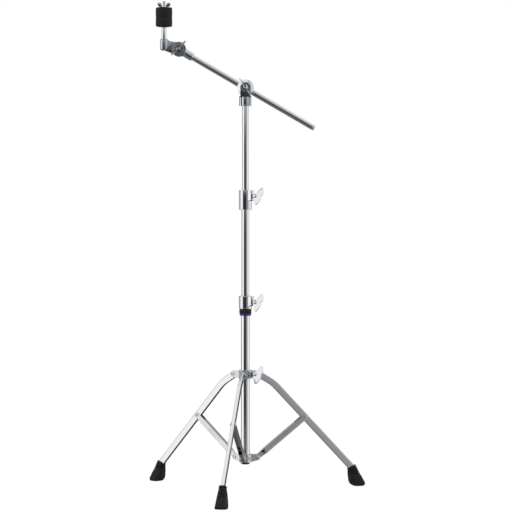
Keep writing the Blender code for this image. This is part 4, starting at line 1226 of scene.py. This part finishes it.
# ------------------------------------------------------------------------- boom
@dataclass
class Boom(Assembly):
    """Boom tilter, rod, end cap and ferrule."""

    air: float = 0.0003
    bolt_r: float = 0.0032
    rod_r: float = 0.0079
    slope: float = math.radians(30.2)
    rod_span: tuple[float, float] = (-0.2030, 0.2235)
    plate_y: tuple[float, float] = (-0.0150, -0.0056)
    plate_r: float = 0.0150
    disc_y: tuple[float, float] = (-0.0053, 0.0055)
    disc_r: float = 0.0236
    teeth: int = 72
    sleeve_r: float = 0.0129
    cheek_x: tuple[float, float] = (0.0146, 0.0172)
    cheek_half: float = 0.0085
    eye_r: float = 0.0127
    eye_half: float = 0.0085
    liner_wall: float = 0.0012
    ferrule_r: float = 0.0115
    mate_r: float = 0.0208           # toothed halves of the cymbal tilter

    def build(self) -> None:
        """Make every piece of the boom."""
        self.pivot = self.measures.pivot("boom_tilt")
        self.rod_y = self.measures.pivot("rod_roll").y
        self.tip = self.measures.pivot("cymbal_tilt")
        self.base()
        self.disc()
        self.eye_bolt()
        self.nut()
        self.rod()
        self.ferrule()

    def along(self) -> Matrix:
        """The rod's own frame: Z along it, low end first, its origin level with the tilter."""
        lean = Matrix.Rotation(math.radians(90.0) + self.slope, 4, "Y")
        return shift(self.pivot.x, self.rod_y, self.pivot.z) @ lean

    def hole(self, x: float, z: float, low: float, high: float) -> Mesh:
        """Cutter for a bolt along Y."""
        return Form.pin(self.bolt_r + self.air, Vector((x, low, z)), Vector((x, high, z)))

    def base(self) -> None:
        """Sleeve on the upper tube, a cheek on each side, and the shield-shaped plate above."""
        x, z = self.pivot.x, self.pivot.z
        bore = self.measures.radius("upper_tube") + self.air
        low = self.measures.heights("tilter_base")[0]
        high = 1.1309
        r = self.sleeve_r
        sleeve = Form.turned([
            (0.0, high - 0.001), (bore, high - 0.001), (bore, low + 0.0006), (bore + 0.0006, low),
            (r - 0.0004, low, 0.0006), (r, low + 0.0010, 0.0004), (r, low + 0.0034, 0.0002),
            (r - 0.0005, low + 0.0037), (r - 0.0005, low + 0.0041), (r, low + 0.0044, 0.0002),
            (r, high - 0.0010, 0.0012), (r - 0.0016, high + 0.0010, 0.0006),
            (0.0, high + 0.0010)], 96)
        plate = ([(x - 0.0150, high - 0.0005), (x + 0.0144, high - 0.0005),
                  (x + 0.0154, high + 0.0080, 0.004)]
                 + Form.arc((x, z), self.plate_r, -8.0, 188.0, 40)
                 + [(x - 0.0158, high + 0.0080, 0.004)])
        shield = Form.softened(Form.slab(plate, *self.plate_y), 0.0016, 4, 50.0)
        near, far = self.cheek_x
        neck = Form.slab([(-far, high - 0.0012), (far, high - 0.0012), (0.0150, high + 0.0018, 0.002),
                          (-0.0150, high + 0.0018, 0.002)], self.plate_y[0] + 0.0004, self.cheek_half)
        cheeks = []
        for hand in (-1, 1):
            corners = [(hand * near, low), (hand * far, low), (hand * far, high), (hand * near, high)]
            sheet = Form.slab(corners, -self.cheek_half, self.cheek_half)
            cheeks.append(Form.softened(sheet, 0.0004, 2))
        dish = Form.moved(Form.turned([(0.0090, 0.0144), (0.0122, 0.0144, 0.0003), (0.0122, 0.0160),
                                       (0.0090, 0.0160)], 64), LAY_FORWARD, shift(x, 0.0, z))
        body = Form.joined(sleeve, shield, neck, *cheeks)
        body = Form.cut(body, dish, self.hole(x, z, -0.03, 0.0))
        self.fit("tilter_base", body, Shop.DARK_CASTING)

    def toothed_disc(self, radius: float, low: float, high: float, mate: float,
                     fall: float = 0.0) -> Mesh:
        """Clutch disc about Z with teeth round one edge.

        Args:
            radius: Outer radius.
            low: Height of the back face.
            high: Height of the front face.
            mate: Height of the toothed edge's middle.
            fall: How far the front slopes back towards its edge; 0 for a raised rim instead.

        Returns:
            The disc.
        """
        groove = radius * 0.70
        outline = [(0.0, low), (radius - 0.0006, low, 0.0003), (radius, low + 0.0008, 0.0004)]
        for height, step in ((mate - 0.0014, 0.0), (mate - 0.0012, 0.0005), (mate, 0.0005),
                             (mate + 0.0012, 0.0005), (mate + 0.0014, 0.0)):
            if low + 0.0009 < height < high - 0.0022:
                outline.append((radius - step, height))
        if fall:
            outline += [(radius, high - fall - 0.0003, 0.0003), (radius - 0.0006, high - fall, 0.0003),
                        (0.0158, high - 0.0002, 0.0004), (0.0, high - 0.0002)]
        else:
            outline += [(radius, high - 0.0016, 0.0008), (radius - 0.0014, high, 0.0008),
                        (groove + 0.0012, high, 0.0006), (groove, high - 0.0008, 0.0005),
                        (groove - 0.0016, high - 0.0008, 0.0005), (groove - 0.0022, high - 0.0002),
                        (0.0, high - 0.0002)]
        disc = Form.turned(outline, self.teeth * 2)
        return Form.toothed(disc, self.teeth, radius * 0.9, (mate - 0.0013, mate + 0.0013), 0.0009)

    def disc(self) -> None:
        """Toothed disc behind the face plate."""
        x, z = self.pivot.x, self.pivot.z
        low, high = -self.disc_y[1], -self.disc_y[0]
        mesh = self.toothed_disc(self.disc_r, low, high, low + 0.0028, 0.0052)
        mesh = Form.moved(mesh, LAY_FORWARD)
        bore = self.hole(0.0, 0.0, -0.02, 0.02)
        self.fit("tilter_disc", Form.cut(mesh, bore), Shop.CASTING, shift(x, 0.0, z))

    def eye_bolt(self) -> None:
        """Eye round the rod, the shoulder under it and the threaded shank through the tilter."""
        x, z = self.pivot.x, self.pivot.z
        r, half = self.eye_r, self.eye_half
        barrel = Form.turned([(0.0, -half), (r - 0.0010, -half, 0.0006), (r, -half + 0.0012, 0.0008),
                              (r, half - 0.0012, 0.0008), (r - 0.0010, half, 0.0006),
                              (0.0, half)], 72)
        barrel = Form.moved(barrel, self.along())
        shoulder = Form.turned([(0.0, 0.0), (0.0074, 0.0), (0.0085, 0.004, 0.002),
                                (0.0085, 0.0177, 0.0006), (0.0, 0.0177)], 56)
        shoulder = Form.moved(shoulder, LAY_FORWARD, shift(x, self.rod_y, z))
        start = self.disc_y[1] + self.air
        plain = Form.pin(self.bolt_r, Vector((x, self.rod_y, z)), Vector((x, -0.0150, z)))
        thread = Form.moved(Wings.thread(self.bolt_r, 0.0145, 0.0330), LAY_FORWARD, shift(x, 0, z))
        trim = Form.slab([(x - 0.02, z - 0.02), (x + 0.02, z - 0.02), (x + 0.02, z + 0.02),
                          (x - 0.02, z + 0.02)], start - 0.02, start)
        passage = Form.moved(Form.pin(self.rod_r + self.liner_wall + 2 * self.air,
                                      Vector((0, 0, -0.05)), Vector((0, 0, 0.05)), 72), self.along())
        body = Form.cut(Form.joined(barrel, shoulder), trim)
        body = Form.cut(Form.joined(body, plain, thread), passage)
        self.fit("tilter_eye_bolt", body, Shop.CASTING)
        inner = self.rod_r + self.air
        outer = inner + self.liner_wall
        liner = Form.ring(inner, outer, -half, half, 0.0003)
        self.fit("tilter_rod_liner", liner, Shop.NYLON, self.along())

    def nut(self) -> None:
        """Washer and wing nut on the face plate."""
        x, z = self.pivot.x, self.pivot.z
        low = -self.plate_y[0] + self.air
        high = low + 0.0016
        bore = self.bolt_r + self.air
        ring = Form.ring(bore, 0.0085, low, high, 0.0003)
        self.fit("tilter_washer", Form.moved(ring, LAY_FORWARD), Shop.CASTING, shift(x, 0.0, z))
        start = self.plate_y[0] - 0.0022
        lean = Matrix.Rotation(math.radians(-36.0), 4, "Y")
        nut = Form.moved(Wings(root=0.0064, tip=0.0044).made(0.0, 0.0, bore), FACE_FRONT, lean)
        self.fit("tilter_wing_nut", nut, Shop.CASTING, shift(x, start, z))

    def rod(self) -> None:
        """Boom rod with its end cap."""
        low, high = self.rod_span
        r = self.rod_r
        rod = Form.turned([(0.0, low), (r, low, 0.0008), (r, high, 0.0005), (0.0, high)], 96)
        self.fit("boom_rod", rod, Shop.TUBE, self.along())
        foot = high + self.air
        cap_r = r + 0.0002
        dome = [(cap_r * math.cos(a), foot + 0.0016 + 0.0044 * math.sin(a))
                for a in (math.pi / 2 * step / 12 for step in range(12))]
        cap = Form.turned([(0.0, foot), (cap_r, foot, 0.0003), (cap_r, foot + 0.0007),
                           (cap_r - 0.0003, foot + 0.0009), (cap_r - 0.0003, foot + 0.0012),
                           *dome, (0.0, foot + 0.0060)], 96)
        self.fit("boom_end_cap", cap, Shop.TUBE, self.along())

    def ferrule(self) -> None:
        """Ferrule on the rod's end with the back half of the cymbal tilter, and its nut."""
        x, z = self.tip.x, self.tip.z
        reach = -0.2211
        end = reach + 0.0450
        r = self.ferrule_r
        body = Form.turned([
            (0.0, reach + 0.006), (r - 0.001, reach + 0.006), (r, reach + 0.008),
            (r, reach + 0.0208, 0.0003), (r - 0.0008, reach + 0.0213), (r - 0.0008, reach + 0.0220),
            (r, reach + 0.0225, 0.0003), (r, end - 0.0016, 0.0010), (r - 0.0020, end, 0.0006),
            (0.0, end)], 80)
        body = Form.moved(body, self.along())
        low, high = 0.0112, 0.0235
        disc = self.toothed_disc(self.mate_r, -high, -low, -low - 0.0030)
        disc = Form.moved(disc, LAY_FORWARD, shift(x, 0.0, z))
        bore = Form.moved(Form.pin(self.rod_r + self.air,
                                   Vector((0, 0, self.rod_span[0] - self.air)),
                                   Vector((0, 0, 0)), 72), self.along())
        ferrule = Form.cut(Form.joined(body, disc), bore, self.hole(x, z, -0.02, 0.05))
        self.fit("boom_ferrule", ferrule, Shop.CASTING)
        start = self.rod_y + r + self.air
        crown = Form.turned([(0.0, 0.0), (0.0069, 0.0, 0.0006), (0.0069, 0.0059, 0.0012),
                             (0.0050, 0.0059), (0.0, 0.0059)], 48)
        prism = Form.turned([(0.0, 0.0), (0.0068, 0.0), (0.0068, 0.0059), (0.0, 0.0059)], 6)
        hexagon = Form.common(Form.softened(prism, 0.0003, 2), crown)
        hexagon = Form.cut(hexagon, Form.pin(self.bolt_r + self.air, Vector((0, 0, -0.01)),
                                             Vector((0, 0, 0.02))))
        hexagon = Form.moved(hexagon, LAY_FORWARD.inverted())
        self.fit("cymbal_tilter_nut", hexagon, Shop.CASTING, shift(x, start, z))


# ------------------------------------------------------------------------- cymbal seat
@dataclass
class CymbalSeat(Boom):
    """Tilter arm and its wing bolt, post, sleeve, felts, washer and top wing nut."""

    arm_y: tuple[float, float] = (-0.0025, 0.0109)
    socket: tuple[float, float] = (1.2670, 1.2968)
    socket_r: float = 0.0112
    post_r: float = 0.0070
    stud_r: float = 0.0040
    felt_r: float = 0.0239

    def build(self) -> None:
        """Make every piece of the cymbal tilter and seat."""
        self.rod_y = self.measures.pivot("rod_roll").y
        self.tip = self.measures.pivot("cymbal_tilt")
        middle = self.measures.middle("cymbal_post")
        self.seat = shift(middle.x, middle.y)
        self.arm(middle.x, middle.y)
        self.bolt()
        self.post()
        self.sleeve()
        self.felts()
        self.top()

    def arm(self, post_x: float, post_y: float) -> None:
        """Front half of the tilter, the curved arm and the socket of the post."""
        x, z = self.tip.x, self.tip.z
        low, high = self.arm_y
        rim = self.mate_r
        disc = self.toothed_disc(rim, -high, -low, -high + 0.0030)
        disc = Form.moved(disc, LAY_FORWARD, shift(x, 0.0, z))
        bottom, top = self.socket
        outline = [(x, z - 0.0190), (x, z + rim - 0.0008), (x - 0.0190, z + rim - 0.0008, 0.010),
                   (post_x + 0.0060, top - 0.0010, 0.003), (post_x, top - 0.0010),
                   (post_x, bottom - 0.0028), (x - 0.0220, z - 0.0118, 0.012),
                   (x - 0.0075, z - 0.0182, 0.006)]
        web = Form.softened(Form.slab(outline, low + 0.0008, high - 0.0008, 8), 0.0014, 3, 50.0)
        r = self.socket_r
        socket = Form.turned([
            (0.0, bottom - 0.0030), (0.0080, bottom - 0.0030, 0.0010), (r, bottom, 0.0020),
            (r, top - 0.0030, 0.0003), (r - 0.0004, top - 0.0027), (r - 0.0004, top - 0.0023),
            (r, top - 0.0020, 0.0003), (r, top, 0.0010), (0.0, top)], 72)
        socket = Form.moved(socket, shift(post_x, post_y))
        floor = self.measures.heights("cymbal_post")[0] - self.air
        bore = Form.pin(self.post_r + self.air, Vector((post_x, post_y, floor)),
                        Vector((post_x, post_y, 1.4)), 64)
        body = Form.cut(Form.joined(disc, web, socket), bore, self.hole(x, z, -0.03, 0.03))
        self.fit("cymbal_tilter_arm", body, Shop.DARK_CASTING)

    def bolt(self) -> None:
        """Wing bolt through the cymbal tilter."""
        start = self.arm_y[0] - self.air
        shank = self.rod_y + self.ferrule_r + 0.0080 - start
        lean = Matrix.Rotation(math.radians(45.0), 4, "Y")
        bolt = Form.moved(Wings(root=0.0056, tip=0.0036).made(self.bolt_r, shank), FACE_FRONT, lean)
        self.fit("cymbal_tilter_wing_bolt", bolt, Shop.DARK_CASTING,
                 shift(self.tip.x, start, self.tip.z))

    def post(self) -> None:
        """Post with a threaded stud on top."""
        low, high = self.measures.heights("cymbal_post")
        shoulder = self.measures.heights("cymbal_sleeve")[0] - self.air
        r = self.post_r
        outline = [(0.0, low), (r, low, 0.0006), (r, shoulder, 0.0008), (self.stud_r, shoulder),
                   (self.stud_r, high - 0.0220), (0.0, high - 0.0220)]
        plain = Form.turned(outline, 72)
        thread = Wings.thread(self.stud_r, high - 0.0230, high - 0.0006, 0.00125)
        tip = Form.turned([(0.0, high - 0.002), (self.stud_r - 0.0007, high - 0.002),
                           (self.stud_r - 0.0008, high, 0.0006), (0.0, high)], 28)
        self.fit("cymbal_post", Form.joined(plain, thread, tip), Shop.TUBE, self.seat)

    def sleeve(self) -> None:
        """Plastic sleeve on the stud with a flange under the felts."""
        low, high = self.measures.heights("cymbal_sleeve")
        flange = self.measures.heights("lower_felt")[0] - self.air
        inner = self.stud_r + self.air
        outline = [(inner, low), (0.0106, low, 0.0006), (0.0106, flange, 0.0006), (0.0056, flange),
                   (0.0056, high, 0.0004), (inner, high)]
        self.fit("cymbal_sleeve", Form.turned(outline, 64), Shop.BLACK, self.seat)

    def felts(self) -> None:
        """Two thick pressed felts, slightly uneven, their edges worn round."""
        for seed, node in enumerate(("lower_felt", "upper_felt")):
            low, high = self.measures.heights(node)
            r = self.felt_r
            inner = 0.0056 + self.air
            count = 22
            side = [(r - 0.0004 + 0.0004 * math.sin(math.pi * k / count),
                     low + 0.0014 + (high - low - 0.0028) * k / count) for k in range(count + 1)]
            ease = [(r - 0.0014 + 0.0012 * math.sin(a), low + 0.0014 - 0.0014 * math.cos(a))
                    for a in (math.pi / 2 * k / 5 for k in range(5))]
            lid = [(radius, 2 * (low + high) / 2 - height) for radius, height in reversed(ease)]
            face = [(inner + (r - 0.0016 - inner) * k / 8, low) for k in range(9)]
            roof = [(radius, high) for radius, _ in reversed(face)]
            mesh = Form.turned(face + ease + side + lid + roof, 144)
            self.roughen(mesh, Vector((0.0, 0.0, seed * 3.7)), inner, low, high)
            felt = self.fit(node, mesh, Shop.FELT, self.seat, 75.0)

    @staticmethod
    def roughen(mesh: Mesh, seed: Vector, inner: float, low: float, high: float) -> None:
        """Push a felt's skin in a little, here and there, away from its bore."""
        for vertex in mesh.vertices:
            out = math.hypot(vertex.co.x, vertex.co.y)
            if out < inner + 0.0008:
                continue
            lump = noise.noise(vertex.co * 260.0 + seed) * 0.5 + 0.5
            fuzz = noise.noise(vertex.co * 1500.0 + seed) * 0.5 + 0.5
            dent = 0.00012 * lump + 0.00008 * fuzz
            vertex.co.x *= 1.0 - dent / out
            vertex.co.y *= 1.0 - dent / out
            middle = (low + high) / 2
            reach = abs(vertex.co.z - middle) / ((high - low) / 2)
            if reach > 0.97:
                vertex.co.z -= math.copysign(dent * 0.7, vertex.co.z - middle)

    def top(self) -> None:
        """Washer and wing nut over the felts."""
        low, high = self.measures.heights("top_washer")
        inner = self.stud_r + self.air
        ring = Form.ring(inner, 0.0105, low, high, 0.0003)
        self.fit("top_washer", ring, Shop.CASTING, self.seat)
        foot = self.measures.heights("top_wing_nut")[0]
        hub = Form.turned([(0.0, foot), (0.0074, foot, 0.0004), (0.0072, foot + 0.0014, 0.0004),
                           (0.0064, foot + 0.0020, 0.0008), (0.0060, foot + 0.0075, 0.0010),
                           (0.0, foot + 0.0075)], 48)
        wing = [(0.0030, 0.0020), (0.0110, 0.0011), (0.0165, 0.0037), (0.0187, 0.0090),
                (0.0179, 0.0121), (0.0145, 0.0136), (0.0102, 0.0131), (0.0071, 0.0104),
                (0.0064, 0.0070), (0.0030, 0.0062)]
        outline = Form.flowing(wing)
        blades = []
        for hand in (-1, 1):
            points = [(hand * x, foot + z) for x, z in outline]
            blades.append(Form.softened(Form.slab(points, -0.0014, 0.0014, 1), 0.0009, 3, 60.0))
        nut = Form.cut(Form.joined(hub, *blades),
                       Form.pin(inner, Vector((0, 0, foot - 0.01)), Vector((0, 0, foot + 0.02))))
        self.fit("top_wing_nut", nut, Shop.CASTING, self.seat)


# ------------------------------------------------------------------------- studio
@dataclass
class Studio:
    """Pale room of soft light, the floor and the camera."""

    measures: Measures
    distance: float = 5.0
    eye_height: float = 0.697
    side_step: float = 0.0305
    pitch: float = math.radians(-0.26)
    lens: float = 122.6
    floor_half: float = 40.0
    overhead: Colour = (1.0, 1.0, 1.0)
    haze: Colour = (0.40, 0.42, 0.44)       # the darkest that the walls get, well above eye level
    underfoot: Colour = (0.15, 0.15, 0.15)
    walls: tuple = (                # turn from the camera's side as a share of half a turn
        (-1.00, (0.25, 0.25, 0.25)), (-0.83, (0.22, 0.22, 0.22)), (-0.70, (0.56, 0.53, 0.50)),
        (-0.55, (0.47, 0.45, 0.43)), (-0.50, (1.10, 1.10, 1.10)), (-0.30, (1.10, 1.10, 1.10)),
        (-0.26, (0.60, 0.60, 0.60)), (-0.22, (0.030, 0.030, 0.032)), (0.08, (0.030, 0.030, 0.032)),
        (0.13, (0.29, 0.30, 0.32)), (0.22, (0.31, 0.33, 0.35)), (0.30, (0.45, 0.46, 0.47)),
        (0.40, (0.90, 0.90, 0.90)), (0.70, (0.95, 0.95, 0.95)), (0.83, (0.12, 0.12, 0.12)),
        (0.93, (0.12, 0.12, 0.12)), (1.00, (0.25, 0.25, 0.25)))

    def build(self) -> None:
        """Set up the room, the floor and the camera."""
        self.room()
        self.floor()
        self.camera()
        bpy.context.scene.view_settings.view_transform = "Standard"

    def room(self) -> None:
        """Soft light from all round: striped walls, a bright ceiling and a light high on the left."""
        world = bpy.data.worlds.new("studio")
        bpy.context.scene.world = world
        world.use_nodes = True
        graph = Graph(world.node_tree)
        ray = graph.node("ShaderNodeTexCoord", output="Generated")
        x, y, z = (graph.node("ShaderNodeSeparateXYZ", None, {"Vector": ray}, axis) for axis in "XYZ")
        turn = graph.node("ShaderNodeMath", {"operation": "ARCTAN2"}, {0: x, 1: 0.0 - y})
        share = turn / (2 * math.pi) + 0.5
        stops = [((place + 1) / 2, colour) for place, colour in self.walls]
        walls = graph.node("ShaderNodeValToRGB", {"stops": stops}, {"Fac": share})
        upper = graph.mixed(z.between(0.10, 0.22), walls, self.haze, "LIGHTEN")
        left_light = z.between(0.48, 0.60) * (0.0 - x).between(0.35, 0.55)
        light = graph.mixed(z.between(0.84, 0.97).largest(left_light), upper, self.overhead)
        light = graph.mixed((0.0 - z).between(0.35, 0.68), light, self.underfoot)
        seen = graph.node("ShaderNodeLightPath", output="Is Camera Ray")
        light = graph.mixed(seen, light, (1.0, 1.0, 1.0))
        glow = graph.node("ShaderNodeBackground", None, {"Color": light, "Strength": 1.0})
        graph.node("ShaderNodeOutputWorld", None, {"Surface": glow})

    def floor(self) -> None:
        """Plain pale floor, faintly lit from below so that it meets the backdrop unseen."""
        half = self.floor_half
        mesh = bpy.data.meshes.new("floor")
        mesh.from_pydata([(-half, -half, 0), (half, -half, 0), (half, half, 0), (-half, half, 0)],
                         [], [(0, 1, 2, 3)])
        material = bpy.data.materials.new("floor")
        material.use_nodes = True
        graph = Graph(material.node_tree)
        mottle = graph.noise(graph.place(), 3.0, 4.0)
        pale = graph.mixed(mottle, (0.12, 0.12, 0.12), (0.13, 0.13, 0.13))
        shown = graph.node("ShaderNodeBsdfPrincipled", None, {
            "Base Color": pale, "Roughness": 0.9, "Specular IOR Level": 0.0,
            "Emission Color": (1.0, 1.0, 1.0), "Emission Strength": 0.93})
        grey = graph.mixed(mottle, (0.42, 0.42, 0.42), (0.44, 0.44, 0.44))
        mirrored = graph.node("ShaderNodeBsdfPrincipled", None, {
            "Base Color": grey, "Roughness": 0.9, "Specular IOR Level": 0.0})
        seen = graph.node("ShaderNodeLightPath", output="Is Camera Ray")
        both = graph.node("ShaderNodeMixShader", None, {0: seen, 1: mirrored, 2: shown})
        graph.node("ShaderNodeOutputMaterial", None, {"Surface": both})
        mesh.materials.append(material)
        floor = bpy.data.objects.new("studio_floor", mesh)
        floor.visible_glossy = False
        floor.visible_diffuse = False
        bpy.context.scene.collection.objects.link(floor)

    def camera(self) -> None:
        """Camera in front of the stand, level with its middle."""
        data = bpy.data.cameras.new("camera")
        data.lens = self.lens
        data.sensor_width = 36.0
        camera = bpy.data.objects.new("camera", data)
        bpy.context.scene.collection.objects.link(camera)
        column = self.measures.column
        camera.location = (column.x + self.side_step, column.y - self.distance, self.eye_height)
        camera.rotation_euler = (math.radians(90.0) + self.pitch, 0.0, 0.0)
        bpy.context.scene.camera = camera


def main() -> None:
    """Build the stand's assemblies in order, then the studio."""
    logging.basicConfig(level=logging.INFO, format="%(message)s")
    measures = Measures()
    for assembly in (Column(measures), Tripod(measures), Boom(measures), CymbalSeat(measures)):
        LOG.info("building %s", type(assembly).__name__)
        assembly.build()
    Studio(measures).build()
    bpy.context.view_layer.update()


if __name__ == "__main__":
    main()
